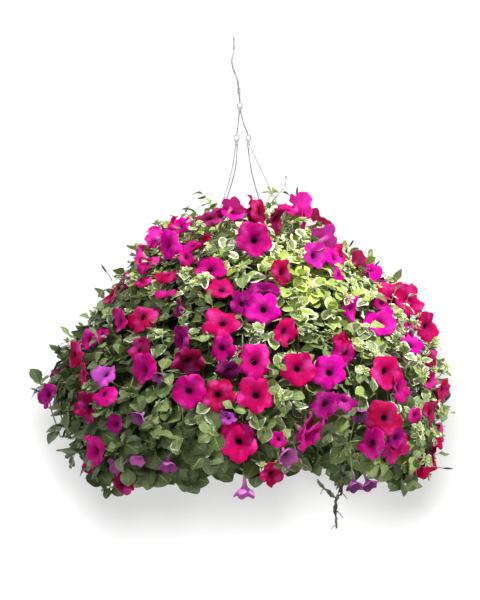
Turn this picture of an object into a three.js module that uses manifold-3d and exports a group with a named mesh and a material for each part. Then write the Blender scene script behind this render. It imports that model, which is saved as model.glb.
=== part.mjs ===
// A hanging basket of trailing petunias: a plastic pot of soil on a wire hanger, planted with leafy stems that
// arch over the rim and hang below it, and with flowering stems that run between them.
// Millimetres, +Z up. The origin is the inside of the hook's top, where the basket hangs, and -Y is its front.
import * as THREE from 'three';
import { mergeVertices } from 'three/addons/utils/BufferGeometryUtils.js';
import Module from 'manifold-3d';

const wasm = await Module();
wasm.setup();

// Hanger: levels are measured down from the inside of the hook's top
const HOOK_LEAN = 9;                 // how far the hook stands to the left of the pot's axis
const HOOK_WIRE = 1.5;               // radii of the wires
const LEG_WIRE = 1.1;
const STRAND_WIRE = 0.9;
const HOOK_INSIDE = 11;              // radius of the hook's mouth
const HOOK_TIP_TURN = -25;           // degrees below level where the hook's wire starts
const HOOK_STEP = 26;
const HOOK_BACK_TURN = 235;          // degrees where it leaves the round part
const EYE_RADIUS = 5;                // eyes that others hang in, and the eyes that hang in them
const LINK_RADIUS = 4;
const LINK_PLAY = 0.8;                // between an eye's wire and the link that hangs on it
const LINK_SPREAD = 2.2;             // how far each side of an eye's middle its two links hang
const SHANK_END = -97;
const LEG_EYE_LEVEL = -150;
const LEFT_EYE_X = -5;
const RIGHT_EYE_X = 12.7;
const LEG_PAIR_GAP = 3.4;            // between the two wires of the right leg
const WRAP_LEVEL = -79;
const WRAP_RADIUS = 2.6;
const WRAP_LENGTH = 9;

// Pot and soil
const RIM_LEVEL = -370;
const POT_HEIGHT = 165;
const POT_TOP_RADIUS = 135;
const POT_BASE_RADIUS = 97;
const POT_WALL = 2.5;
const FLANGE_RADIUS = 145;
const FLANGE_THICKNESS = 3.5;
const FLANGE_LIP = 9;
const POT_SIDES = 20;
const CLIP_RADIUS = 140;             // where the strands go through the flange
const CLIP_HOLE = 2.4;
const CLIP_ANGLES = { front_right: -36, back_right: 54, back_left: 144, front_left: 234 };
const STRAND_BOWS = { front_right: 1.0, back_right: 1.5, back_left: 2.0, front_left: 1.5 };
const CLIP_DEPTH = 9;                // how far a strand's bent end reaches below the flange
const DRAIN_HOLES = 5;
const DRAIN_RADIUS = 5;
const DRAIN_RING = 62;
const SOIL_LEVEL = -387;
const SOIL_CROWN = 6;

const PLANTING_DEPTH = 14;
const CLEARANCE = 0.35;
const HOLE_SHARE = 1.45;             // radius of a four-sided planting hole as a share of its stem's
const HOLE_PLAY = 4;                 // and what is added to it, in clearances
const TRAIL_HOLE_PLAY = 3;

// Mound of foliage: a dome that opens downwards as a parabola, over a skirt that draws in again
const CROWN_LEVEL = -225;
const WIDEST_LEVEL = -525;
const MOUND_RADIUS = 315;
const SKIRT_HEIGHT = 150;
const SKIRT_PULL_IN = 60;

// Trailing leafy stems
const TRAILS = 20;
const TRAIL_ROOT_RING = 100;
const TRAIL_DEPTH = 45;              // of their middle under the mound's surface
const TRAIL_GAP = 15;                // between two trails, where the flowering stems run
const TRAIL_NARROW = 8;              // half widths of the bundle of shoots that the leaves stand out of
const TRAIL_WIDE = 17;
const TRAIL_TOP_LEVEL = -300;
const TRAIL_RINGS = 5;
const TRAIL_STEM = 2.6;
const TRAIL_SIDES = 5;
const ROOT_POINT = 10;               // length of the point that a stem ends in, in the soil
const ROOT_RADII = [2.6, 2.6, 2.4];  // of one stem after another, just above that point
const HEM_LEVELS = [-650, -640, -655, -640, -650, -645, -655, -640, -655, -635,
  -628, -640, -652, -655, -640, -648, -600, -645, -640, -655];
const TRAIL_LEAVES = 9;
const TIP_LEAVES = 3;
const LEAF_SUNK = 3;
const TIP_SUNK = 5;
const TIP_LEAF_LENGTH = 26;
const TIP_LEAF_WIDTH = 11;

// Crown: upright leafy clumps round the hanger
const CLUMPS = 4;
const CLUMP_FIRST_ANGLE = 9;
const CLUMP_LEAVES = 12;
const CLUMP_SIDES = 6;
const CLUMP_ROOT_RING = 40;
const CLUMP_BUD_LEVEL = -254;
// radius from the pot's axis, level, half width and half thickness of each ring of a clump
const CLUMP_RINGS = [[42, -366, 2.6, 2.6], [56, -322, 17, 12], [62, -295, 13, 10], [54, -270, 15, 11],
  [42, -248, 5, 5]];

// Flowering stems and blooms
const BLOOM_STEM_DEPTH = 29;
const BLOOM_STEM_RADIUS = 2.6;
const BLOOM_STEM_SIDE_STEP = 4;      // sideways from the middle of the gap between two trails
const BLOOM_STEM_RISE = [[101, -362], [122, -338]];    // radius and level of its bends over the rim
const BLOOM_STEM_LEVELS = [-322, -360, -410, -470, -540, -610];
const CROWN_STEM_RING = 86;
const CROWN_STEM_RISE = [[87, -362], [91, -320], [84, -292], [66, -272], [52, -262]];
const CROWN_STEM_ANGLE = 14;         // past the strand that stands next to it
const CROWN_BLOOM_LEVEL = -300;      // blooms above it grow on the crown's stems
const EYE_DISTANCE = 2600;           // the front list is what is seen from here
const EYE_LEVEL = -260;
const NOTCH = 0.8;
const THROAT = 0.13;                 // this and the next three are shares of a bloom's width
const NECK_DEPTH = 0.27;
const NECK_RADIUS = 0.07;
const CALYX_DEPTH = 0.45;
const PEDICEL_RADIUS = 0.9;
const SPREAD_ROUNDS = 40;

// Open blooms of the front: across and up as seen, width, degrees turned to the right, degrees lifted
const FRONT_BLOOMS = [
  [-48, -270, 45, -60, 35], [-3, -258, 44, 10, 60], [31, -262, 48, 65, 10], [22, -303, 56, 8, 5],
  [99, -262, 50, 75, 15], [73, -255, 32, 30, 60], [-94, -286, 36, -50, 40], [-111, -310, 42, -55, 10],
  [-72, -309, 30, -30, 60], [-78, -328, 30, 40, 20], [-142, -336, 40, -50, 40], [-172, -364, 28, -60, 20],
  [-146, -364, 28, -20, 60], [-110, -352, 36, -10, 70], [-45, -344, 50, -5, 45], [-28, -372, 50, 5, 50],
  [-111, -382, 32, -20, 70], [-195, -384, 36, -70, 25], [-93, -404, 30, -75, 10], [-27, -423, 58, 0, 42],
  [36, -374, 50, 10, 65], [36, -404, 54, 5, 5], [66, -352, 44, 50, 5], [114, -326, 46, 40, 10],
  [144, -328, 38, 50, 30], [150, -356, 28, 60, 0], [195, -344, 42, 30, 60], [242, -393, 58, 20, 35],
  [213, -396, 30, 20, 30], [284, -420, 44, 65, 10], [170, -406, 40, 50, 0], [207, -422, 56, 0, 45],
  [-150, -416, 50, -35, 30], [-183, -424, 38, -60, 0], [152, -452, 30, 20, 30], [258, -458, 42, 40, 40],
  [296, -486, 40, 65, 0], [222, -501, 56, 40, 0], [306, -528, 40, 65, -5], [284, -514, 28, 30, 0],
  [132, -502, 54, -10, 5], [156, -540, 40, 30, 50], [70, -441, 46, 45, 0], [-30, -465, 44, -20, 5],
  [22, -486, 56, 5, 5], [-211, -442, 30, -40, 50], [-231, -453, 38, -50, 20], [-249, -471, 42, -55, 0],
  [-93, -453, 48, -60, 0], [-76, -490, 52, 15, -35], [-78, -528, 54, -10, 0], [-33, -536, 52, 5, 0],
  [-18, -502, 40, 0, -40], [24, -537, 58, 0, 0], [87, -495, 54, 10, 10], [-144, -495, 54, -60, 0],
  [-152, -471, 40, -30, 40], [-204, -504, 40, -30, 45], [-207, -530, 38, -40, 40], [-291, -534, 40, -50, 20],
  [-230, -552, 48, -40, 0], [-188, -579, 34, -50, 0], [-220, -620, 50, -55, -5], [-180, -669, 40, -40, -10],
  [-18, -567, 28, 0, 40], [-2, -606, 62, 0, 0], [52, -652, 42, 30, -20], [60, -603, 28, 20, 0],
  [110, -580, 60, 70, -10], [120, -556, 48, -30, 30], [219, -570, 56, 20, 10], [195, -606, 50, -40, 0],
  [236, -600, 36, 40, 0], [264, -566, 26, 30, 0], [288, -564, 42, 60, 0], [303, -596, 42, 60, 0],
  [286, -639, 46, 35, 0],
];

// Faded blooms of the front, folded to narrow trumpets
const FADED_BLOOMS = [
  [-152, -570, 24, -40, -30], [-186, -642, 26, -60, -20], [-153, -636, 22, -20, -50], [-108, -646, 26, 0, -60],
  [7, -684, 26, 0, -75], [69, -628, 28, 30, -30], [180, -566, 26, 20, -40], [172, -650, 26, 20, -60],
];

// Blooms of the back and of the far sides, placed by a rule
const BACK_BLOOMS = 39;
const BACK_HIGHEST = -262;
const BACK_LOWEST = -655;
const GOLDEN_TURN = 0.618034;

// Dead stem that hangs out under the front, with a fork that points up
const DEAD_ANGLE = -54;
const DEAD_DEPTH = 74;
const DEAD_RADIUS = 2.2;
const DEAD_ROOT_RING = 116;
const DEAD_OVER_RIM = [[119, -364], [136, -350], [157, -352], [166, -384]];   // radius and level
const DEAD_LEVELS = [-400, -470, -540];
const DEAD_HANG_RADIUS = 236;        // the next two lists are across the front and level, at this radius
const DEAD_HANG = [[150, -663], [142, -681], [141, -707], [142, -727]];
const DEAD_FORK = [[142, -682], [134, -677], [114, -656]];

const COLOURS = {
  wire: { color: 0xb9bcc0, roughness: 0.35, metalness: 0.9 },
  pot: { color: 0x3b4a3a, roughness: 0.6, metalness: 0 },
  soil: { color: 0x3a2a1e, roughness: 1, metalness: 0 },
  leaf: { color: 0x6f9450, roughness: 0.7, metalness: 0 },
  petal: { color: 0xd0107c, roughness: 0.6, metalness: 0 },
  dead: { color: 0x3a342c, roughness: 0.9, metalness: 0 },
};

const UP = new THREE.Vector3(0, 0, 1);
const radians = THREE.MathUtils.degToRad;
const point = (x, y, z) => new THREE.Vector3(x, y, z);

// Seeded draw between 0 and 1, the same each time for the same two whole numbers
function draw(item, kind) {
  const wave = Math.sin(item * 12.9898 + kind * 78.233) * 43758.5453;
  return wave - Math.floor(wave);
}

function between(low, high, share) {
  return low + (high - low) * share;
}

// Solids
function signedVolume(positions, triangles) {
  let sum = 0;
  const [a, b, c] = [new THREE.Vector3(), new THREE.Vector3(), new THREE.Vector3()];
  for (let i = 0; i < triangles.length; i += 3) {
    a.fromArray(positions, triangles[i] * 3);
    b.fromArray(positions, triangles[i + 1] * 3);
    c.fromArray(positions, triangles[i + 2] * 3);
    sum += a.dot(b.cross(c));
  }
  return sum;
}

function solidOf(geometry) {
  geometry.deleteAttribute('normal');
  geometry.deleteAttribute('uv');
  const merged = mergeVertices(geometry, 1e-4);
  const vertProperties = new Float32Array(merged.attributes.position.array);
  const triVerts = new Uint32Array(merged.index.array);
  if (signedVolume(vertProperties, triVerts) < 0) triVerts.reverse();
  return new wasm.Manifold(new wasm.Mesh({ numProp: 3, vertProperties, triVerts }));
}

function closedSolid(points, faces) {
  const geometry = new THREE.BufferGeometry().setFromPoints(points);
  geometry.setIndex(faces.flat());
  return solidOf(geometry);
}

function geometryOf(solid) {
  const mesh = solid.getMesh();
  const geometry = new THREE.BufferGeometry();
  geometry.setAttribute('position', new THREE.BufferAttribute(mesh.vertProperties, 3));
  geometry.setIndex(new THREE.BufferAttribute(mesh.triVerts, 1));
  geometry.computeVertexNormals();
  return geometry;
}

function largestBody(solid) {
  const bodies = solid.decompose();
  bodies.sort((a, b) => b.volume() - a.volume());
  return bodies[0];
}

function fuse(solids) {
  return solids.reduce((whole, next) => whole.add(next));
}

// A round section swept along points by way of a smooth curve
function tube(points, radius, sides, steps) {
  const section = new THREE.Shape();
  for (let i = 0; i < sides; i++) {
    const turn = (i * 2 * Math.PI) / sides;
    if (i === 0) section.moveTo(radius, 0);
    else section.lineTo(radius * Math.cos(turn), radius * Math.sin(turn));
  }
  section.closePath();
  const curve = new THREE.CatmullRomCurve3(points, false, 'centripetal');
  return solidOf(new THREE.ExtrudeGeometry(section, { steps, bevelEnabled: false, extrudePath: curve }));
}

function cylinder(radius, height, sides, centre) {
  const geometry = new THREE.CylinderGeometry(radius, radius, height, sides);
  geometry.rotateX(Math.PI / 2);
  geometry.translate(centre.x, centre.y, centre.z);
  return solidOf(geometry);
}

// Rings of points joined to one closed skin, with as many or as few points in each as it needs
function skin(rings) {
  const points = rings.flat();
  const faces = [];
  let start = 0;
  for (let r = 0; r + 1 < rings.length; r++) {
    const [low, high] = [rings[r].length, rings[r + 1].length];
    const next = start + low;
    let [i, j] = [0, 0];
    while (i < low || j < high) {
      const a = start + (i % low);
      const b = next + (j % high);
      if (j >= high || (i < low && (i + 1) / low <= (j + 1) / high)) {
        faces.push([a, start + ((i + 1) % low), b]);
        i += 1;
      } else {
        faces.push([a, next + ((j + 1) % high), b]);
        j += 1;
      }
    }
    start = next;
  }
  const first = rings[0];
  for (let i = 1; i + 1 < first.length; i++) faces.push([0, i + 1, i]);
  const last = rings[rings.length - 1];
  for (let i = 1; i + 1 < last.length; i++) faces.push([start, start + i, start + i + 1]);
  return closedSolid(points, faces);
}

function ovalRing(centre, across, out, halfWidth, halfThickness, sides) {
  const ring = [];
  for (let i = 0; i < sides; i++) {
    const turn = (i * 2 * Math.PI) / sides;
    ring.push(centre.clone()
      .addScaledVector(across, halfWidth * Math.cos(turn))
      .addScaledVector(out, halfThickness * Math.sin(turn)));
  }
  return ring;
}

function roundRing(centre, axis, start, radius, sides) {
  const other = new THREE.Vector3().crossVectors(axis, start);
  return ovalRing(centre, start, other, radius, radius, sides);
}

function carried(direction, from, to) {
  const turn = new THREE.Quaternion().setFromUnitVectors(from, to);
  return direction.clone().applyQuaternion(turn);
}

// A round stem or wire with a ring at each of its points
function branch(points, radius, sides) {
  const last = points.length - 1;
  const ways = points.map((_, i) => points[Math.min(i + 1, last)].clone()
    .sub(points[Math.max(i - 1, 0)]).normalize());
  let start = new THREE.Vector3().crossVectors(ways[0], point(0.9, 0.4, 0.17)).normalize();
  const rings = points.map((centre, i) => {
    if (i > 0) start = carried(start, ways[i - 1], ways[i]);
    return roundRing(centre, ways[i], start, radius, sides);
  });
  return skin(rings);
}

// What has been placed so far, so that later pieces keep clear of it
const placed = [];

function keep(owner, solid) {
  placed.push({ owner, solid, box: solid.boundingBox() });
}

function boxesMeet(a, b) {
  return [0, 1, 2].every((k) => a.min[k] < b.max[k] + CLEARANCE && b.min[k] < a.max[k] + CLEARANCE);
}

function isClear(solid, ...owners) {
  const box = solid.boundingBox();
  return !placed.some((other) => !owners.includes(other.owner) && boxesMeet(box, other.box)
    && solid.minGap(other.solid, CLEARANCE) < CLEARANCE);
}

// The mound's surface
function moundRadius(level) {
  if (level > WIDEST_LEVEL) {
    const down = Math.max(CROWN_LEVEL - level, 0) / (CROWN_LEVEL - WIDEST_LEVEL);
    return MOUND_RADIUS * Math.sqrt(down);
  }
  const below = (WIDEST_LEVEL - level) / SKIRT_HEIGHT;
  return MOUND_RADIUS - SKIRT_PULL_IN * below * below;
}

function moundOut(angle, level) {
  const slope = moundRadius(level - 1) - moundRadius(level + 1);
  const out = new THREE.Vector2(2, slope).normalize();
  return point(out.x * Math.cos(angle), out.x * Math.sin(angle), out.y);
}

function moundPoint(angle, level, depth) {
  const radius = moundRadius(level);
  const surface = point(radius * Math.cos(angle), radius * Math.sin(angle), level);
  return surface.addScaledVector(moundOut(angle, level), -depth);
}

function alongRing(angle) {
  return point(-Math.sin(angle), Math.cos(angle), 0);
}

function onAxisPlane(angle, radius, level) {
  return point(radius * Math.cos(angle), radius * Math.sin(angle), level);
}

// Hanger
function ring(centre, radius, wire, faceY) {
  const geometry = new THREE.TorusGeometry(radius, wire, 4, 8);
  if (faceY) geometry.rotateX(Math.PI / 2);
  else geometry.rotateY(Math.PI / 2);
  geometry.translate(centre.x, centre.y, centre.z);
  return solidOf(geometry);
}

function hookSolid() {
  const bend = HOOK_INSIDE + HOOK_WIRE;
  const points = [];
  for (let turn = HOOK_TIP_TURN; turn <= HOOK_BACK_TURN; turn += HOOK_STEP) {
    const a = radians(turn);
    points.push(point(-HOOK_LEAN, -bend * Math.cos(a), -HOOK_INSIDE + bend * Math.sin(a)));
  }
  points.push(point(-11, 2, -28), point(-12, 0, -36), point(-9.5, 0, -48), point(-4, 0, -62));
  points.push(point(-1.5, 0, -80), point(0, 0, SHANK_END));
  const wire = tube(points, HOOK_WIRE, 6, 20);
  const wrap = cylinder(WRAP_RADIUS, WRAP_LENGTH, 6, point(-1.5, 0, WRAP_LEVEL));
  const eye = ring(point(0, 0, SHANK_END - EYE_RADIUS), EYE_RADIUS, LEG_WIRE, true);
  return fuse([wire, wrap, eye]);
}

// Middle of the link that hangs in an eye, at one side of the eye's middle
function linkCentre(eyeCentre, side, wire) {
  const drop = Math.sqrt(EYE_RADIUS ** 2 - LINK_SPREAD ** 2);
  const top = eyeCentre.z - drop + LEG_WIRE + wire + LINK_PLAY;
  return point(eyeCentre.x + side * LINK_SPREAD, 0, top - LINK_RADIUS);
}

function legSolid(side, eyeX, wires) {
  const shankEye = point(0, 0, SHANK_END - EYE_RADIUS);
  const top = linkCentre(shankEye, side, LEG_WIRE);
  const link = ring(top, LINK_RADIUS, LEG_WIRE, false);
  const foot = point(eyeX, 0, LEG_EYE_LEVEL);
  const eye = ring(foot, EYE_RADIUS, LEG_WIRE, true);
  const gap = wires > 1 ? LEG_PAIR_GAP / 2 : 0;
  const runs = [-1, 1].slice(0, wires).map((part) => tube([
    top.clone().add(point(0, part * gap, -LINK_RADIUS + gap * 0.3)),
    point(between(top.x, eyeX, 0.45), part * gap, between(top.z, foot.z, 0.55)),
    foot.clone().add(point(0, part * gap * 0.3, EYE_RADIUS)),
  ], LEG_WIRE, 4, 4));
  return fuse([link, eye, ...runs]);
}

function strandSolid(name, eyeX, side) {
  const angle = radians(CLIP_ANGLES[name]);
  const top = linkCentre(point(eyeX, 0, LEG_EYE_LEVEL), side, STRAND_WIRE);
  const link = ring(top, LINK_RADIUS, STRAND_WIRE, false);
  const start = top.clone().add(point(0, 0, -LINK_RADIUS));
  const clip = onAxisPlane(angle, CLIP_RADIUS, RIM_LEVEL);
  const points = [start];
  for (const share of [0.2, 0.45, 0.7, 0.88]) {
    const reach = share ** STRAND_BOWS[name];
    points.push(point(between(start.x, clip.x, reach), between(start.y, clip.y, reach),
      between(start.z, clip.z, share)));
  }
  points.push(clip.clone().add(point(0, 0, 7)));
  points.push(clip.clone().add(point(0, 0, -FLANGE_THICKNESS - 2)));
  points.push(onAxisPlane(angle, CLIP_RADIUS - 1.5, RIM_LEVEL - FLANGE_THICKNESS - CLIP_DEPTH * 0.7));
  return fuse([link, branch(points, STRAND_WIRE, 4)]);
}

// Pot and soil
function potRadius(level) {
  return between(POT_TOP_RADIUS, POT_BASE_RADIUS, (RIM_LEVEL - level) / POT_HEIGHT);
}

function potSolid() {
  const base = RIM_LEVEL - POT_HEIGHT;
  const flangeFoot = RIM_LEVEL - FLANGE_THICKNESS;
  const profile = [
    [0, base], [POT_BASE_RADIUS, base], [potRadius(flangeFoot), flangeFoot],
    [FLANGE_RADIUS - POT_WALL, flangeFoot], [FLANGE_RADIUS - POT_WALL, flangeFoot - FLANGE_LIP],
    [FLANGE_RADIUS, flangeFoot - FLANGE_LIP], [FLANGE_RADIUS, RIM_LEVEL],
    [POT_TOP_RADIUS - POT_WALL, RIM_LEVEL], [POT_BASE_RADIUS - POT_WALL, base + POT_WALL],
    [0, base + POT_WALL],
  ].map(([radius, level]) => new THREE.Vector2(radius, level));
  const geometry = new THREE.LatheGeometry(profile, POT_SIDES);
  geometry.rotateX(Math.PI / 2);
  let pot = solidOf(geometry);
  for (const degrees of Object.values(CLIP_ANGLES)) {
    pot = pot.subtract(cylinder(CLIP_HOLE, 20, 6, onAxisPlane(radians(degrees), CLIP_RADIUS, RIM_LEVEL)));
  }
  for (let i = 0; i < DRAIN_HOLES; i++) {
    const centre = onAxisPlane((i * 2 * Math.PI) / DRAIN_HOLES, DRAIN_RING, base);
    pot = pot.subtract(cylinder(DRAIN_RADIUS, 20, 6, centre));
  }
  return pot;
}

// Where each stem stands in the soil: angle, distance from the middle, radius and play of the stem
const stands = [];

function soilSolid() {
  const foot = RIM_LEVEL - POT_HEIGHT + POT_WALL + CLEARANCE;
  const inside = (level) => potRadius(level) - POT_WALL - 2 * CLEARANCE;
  const profile = [
    [0, foot], [inside(foot) - 1, foot], [inside(SOIL_LEVEL) - 1, SOIL_LEVEL],
    [inside(SOIL_LEVEL) * 0.5, SOIL_LEVEL + SOIL_CROWN * 0.8], [0, SOIL_LEVEL + SOIL_CROWN],
  ].map(([radius, level]) => new THREE.Vector2(radius, level));
  const geometry = new THREE.LatheGeometry(profile, POT_SIDES);
  geometry.rotateX(Math.PI / 2);
  let soil = solidOf(geometry);
  for (const { angle, distance, radius, play } of stands) {
    const depth = PLANTING_DEPTH + SOIL_CROWN + 1;
    const centre = onAxisPlane(angle, distance, SOIL_LEVEL - PLANTING_DEPTH - 1 + depth / 2);
    soil = soil.subtract(cylinder(HOLE_SHARE * radius + play * CLEARANCE, depth, 4, centre));
  }
  return soil;
}

function plant(angle, distance, radius, play = HOLE_PLAY) {
  stands.push({ angle, distance, radius, play });
  return onAxisPlane(angle, distance, SOIL_LEVEL - PLANTING_DEPTH);
}

// Leaves: an ovate blade on its stalk, folded a little along the rib, thin at the edge
function leafSolid(root, along, up, length, width, droop, narrow) {
  const side = new THREE.Vector3().crossVectors(along, up).normalize();
  const face = new THREE.Vector3().crossVectors(side, along).normalize();
  const at = (share, reach, lift) => root.clone()
    .addScaledVector(along, share * length)
    .addScaledVector(side, reach * width)
    .addScaledVector(face, lift - droop * length * share * share);
  const fold = width * 0.12;
  const ovate = [at(0, 0, 0), at(0.5, 0.48, fold), at(0.8, 0.32, fold * 0.7),
    at(1, 0, 0), at(0.8, -0.32, fold * 0.7), at(0.5, -0.48, fold)];
  const outline = narrow ? [at(0, 0, 0), at(0.6, 0.5, fold), at(1, 0, 0), at(0.6, -0.5, fold)] : ovate;
  const middle = [at(0.55, 0, 0.5), at(0.55, 0, -0.7)];
  const faces = [];
  outline.forEach((corner, i) => {
    const next = (i + 1) % outline.length;
    faces.push([i, next, outline.length], [next, i, outline.length + 1]);
  });
  return closedSolid([...outline, ...middle], faces);
}

// Tries one leaf at a few turns and keeps the first that touches nothing else
function growLeaf(owner, leaves, root, along, up, length, width, droop, narrow = false) {
  const turns = [0, 0.5, -0.5, 1, -1];
  for (const scale of [1, 0.8]) {
    for (const turn of turns) {
      const aim = along.clone().applyAxisAngle(up, turn);
      const leaf = leafSolid(root, aim, up, length * scale, width * scale, droop, narrow);
      if (isClear(leaf, owner)) {
        leaves.push(leaf);
        keep('leaf', leaf);
        return;
      }
    }
  }
}

function tipRosette(owner, leaves, tip, aim, across, seed) {
  for (let i = 0; i < TIP_LEAVES; i++) {
    const turn = (i * 2 * Math.PI) / TIP_LEAVES + draw(seed, i);
    const out = across.clone().applyAxisAngle(aim, turn);
    const along = aim.clone().addScaledVector(out, 0.8).normalize();
    const up = aim.clone().addScaledVector(out, -0.5).normalize();
    growLeaf(owner, leaves, tip, along, up, TIP_LEAF_LENGTH, TIP_LEAF_WIDTH, 0.1, true);
  }
}

// Trails
function trailAngle(index) {
  return ((index + 0.5) * 2 * Math.PI) / TRAILS;
}

function trailCore(index) {
  const angle = trailAngle(index);
  const across = alongRing(angle);
  const radial = onAxisPlane(angle, 1, 0);
  const foot = plant(angle, TRAIL_ROOT_RING, TRAIL_STEM, TRAIL_HOLE_PLAY);
  const rootRadius = ROOT_RADII[index % ROOT_RADII.length];
  const neck = foot.clone().addScaledVector(UP, ROOT_POINT);
  const overRim = onAxisPlane(angle, TRAIL_ROOT_RING + 2, RIM_LEVEL + 6);
  const rings = [
    [foot],
    ovalRing(neck, across, radial, rootRadius, rootRadius, TRAIL_SIDES),
    ovalRing(overRim, across, radial, TRAIL_STEM, TRAIL_STEM, TRAIL_SIDES),
  ];
  const spine = [];
  const hem = HEM_LEVELS[index];
  for (let i = 0; i < TRAIL_RINGS; i++) {
    const share = i / (TRAIL_RINGS - 1);
    const level = between(TRAIL_TOP_LEVEL, hem + 20, share ** 0.85);
    const centre = moundPoint(angle, level, TRAIL_DEPTH);
    const out = moundOut(angle, level);
    const pitch = (2 * Math.PI * Math.hypot(centre.x, centre.y)) / TRAILS;
    const room = (pitch - TRAIL_GAP) / 2;
    const halfWidth = Math.min(room, between(TRAIL_NARROW, TRAIL_WIDE, draw(index * 7 + i, 3)));
    const thick = halfWidth * between(0.5, 0.7, draw(index * 7 + i, 4));
    spine.push({ level, centre, out, halfWidth, thick });
    rings.push(ovalRing(centre, across, out, halfWidth, thick, TRAIL_SIDES));
  }
  const last = spine[spine.length - 1];
  const tip = moundPoint(angle, hem, TRAIL_DEPTH - 12);
  rings.push(ovalRing(tip, across, last.out, 1.6, 1.6, TRAIL_SIDES));
  return { name: `leafy_trail_${index + 1}`, angle, across, spine, tip, body: skin(rings) };
}

function coreAt(trail, share) {
  const place = share * (trail.spine.length - 1);
  const i = Math.min(Math.floor(place), trail.spine.length - 2);
  const part = place - i;
  const [a, b] = [trail.spine[i], trail.spine[i + 1]];
  return {
    centre: a.centre.clone().lerp(b.centre, part),
    out: a.out.clone().lerp(b.out, part).normalize(),
    halfWidth: between(a.halfWidth, b.halfWidth, part),
    thick: between(a.thick, b.thick, part),
    down: b.centre.clone().sub(a.centre).normalize(),
  };
}

function leafyTrail(trail, index) {
  const leaves = [];
  for (let i = 0; i < TRAIL_LEAVES; i++) {
    const seed = index * 50 + i;
    const share = (i + 0.3 + 0.4 * draw(seed, 5)) / TRAIL_LEAVES;
    const at = coreAt(trail, share);
    const side = [-0.8, 0.15, 0.8, -0.2][i % 4] + 0.15 * (draw(seed, 6) - 0.5);
    const sunk = Math.sqrt(1 - side * side) * at.thick * 0.8 - LEAF_SUNK;
    const root = at.centre.clone().addScaledVector(trail.across, side * at.halfWidth * 0.85)
      .addScaledVector(at.out, sunk);
    const along = at.out.clone().multiplyScalar(between(0.5, 0.9, draw(seed, 7)))
      .addScaledVector(trail.across, side * 1.2)
      .addScaledVector(at.down, between(0.1, 0.7, draw(seed, 8))).normalize();
    const up = at.out.clone().addScaledVector(UP, 0.6).addScaledVector(along, -0.4).normalize();
    growLeaf(trail.name, leaves, root, along, up, between(34, 46, draw(seed, 9)),
      between(22, 29, draw(seed, 10)), 0.12);
  }
  const aim = trail.tip.clone().sub(trail.spine[trail.spine.length - 1].centre).normalize();
  const bud = trail.tip.clone().addScaledVector(aim, -TIP_SUNK);
  tipRosette(trail.name, leaves, bud, aim, trail.across, index + 300);
  return largestBody(fuse([trail.body, ...leaves]));
}

// Clumps of the crown, one between each two strands
function clumpCore(index) {
  const angle = radians(CLUMP_FIRST_ANGLE + (index * 360) / CLUMPS);
  const across = alongRing(angle);
  const radial = onAxisPlane(angle, 1, 0);
  const foot = plant(angle, CLUMP_ROOT_RING, TRAIL_STEM);
  const rings = [ovalRing(foot, across, radial, TRAIL_STEM, TRAIL_STEM, CLUMP_SIDES)];
  for (const [radius, level, halfWidth, thick] of CLUMP_RINGS) {
    rings.push(ovalRing(onAxisPlane(angle, radius, level), across, radial, halfWidth, thick, CLUMP_SIDES));
  }
  return { name: `leafy_clump_${index + 1}`, angle, across, radial, body: skin(rings) };
}

function leafyClump(clump, index) {
  const leaves = [];
  for (let i = 0; i < CLUMP_LEAVES; i++) {
    const seed = 1400 + index * 30 + i;
    const share = (i + 0.5) / CLUMP_LEAVES;
    const around = (i * GOLDEN_TURN + draw(index, 11)) * 2 * Math.PI;
    const row = CLUMP_RINGS[share < 0.4 ? 1 : share < 0.8 ? 2 : 3];
    const out = clump.radial.clone().multiplyScalar(Math.cos(around))
      .addScaledVector(clump.across, Math.sin(around));
    const root = onAxisPlane(clump.angle, row[0], row[1] + 8 * (draw(seed, 12) - 0.5))
      .addScaledVector(clump.radial, Math.cos(around) * (row[3] * 0.86 - LEAF_SUNK))
      .addScaledVector(clump.across, Math.sin(around) * (row[2] * 0.86 - LEAF_SUNK));
    const along = out.clone().addScaledVector(UP, between(0.3, 1.1, share)).normalize();
    const up = UP.clone().addScaledVector(out, -0.3).normalize();
    growLeaf(clump.name, leaves, root, along, up, between(32, 42, draw(seed, 13)),
      between(19, 26, draw(seed, 14)), 0.15);
  }
  const bud = onAxisPlane(clump.angle, CLUMP_ROOT_RING, CLUMP_BUD_LEVEL);
  tipRosette(clump.name, leaves, bud, UP, clump.across, index + 700);
  return largestBody(fuse([clump.body, ...leaves]));
}

// Blooms: where they stand
function facing(turn, lift) {
  const [a, b] = [radians(turn), radians(lift)];
  return point(Math.sin(a) * Math.cos(b), -Math.cos(a) * Math.cos(b), Math.sin(b));
}

// The place on the mound where something seen at this place across and at this level stands
function seenOnMound(across, level) {
  const place = point(across, -200, level);
  for (let round = 0; round < 6; round++) {
    const shrink = 1 + place.y / EYE_DISTANCE;
    place.x = across * shrink;
    place.z = EYE_LEVEL + (level - EYE_LEVEL) * shrink;
    const radius = moundRadius(place.z);
    place.y = -Math.sqrt(Math.max(radius ** 2 - place.x ** 2, (0.12 * radius) ** 2));
  }
  return place;
}

function frontBlooms() {
  const open = FRONT_BLOOMS.map((row) => [...row, false]);
  const faded = FADED_BLOOMS.map((row) => [...row, true]);
  return [...open, ...faded].map(([across, level, width, turn, lift, wilted]) => ({
    centre: seenOnMound(across, level), width, face: facing(turn, lift), wilted,
  }));
}

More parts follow.
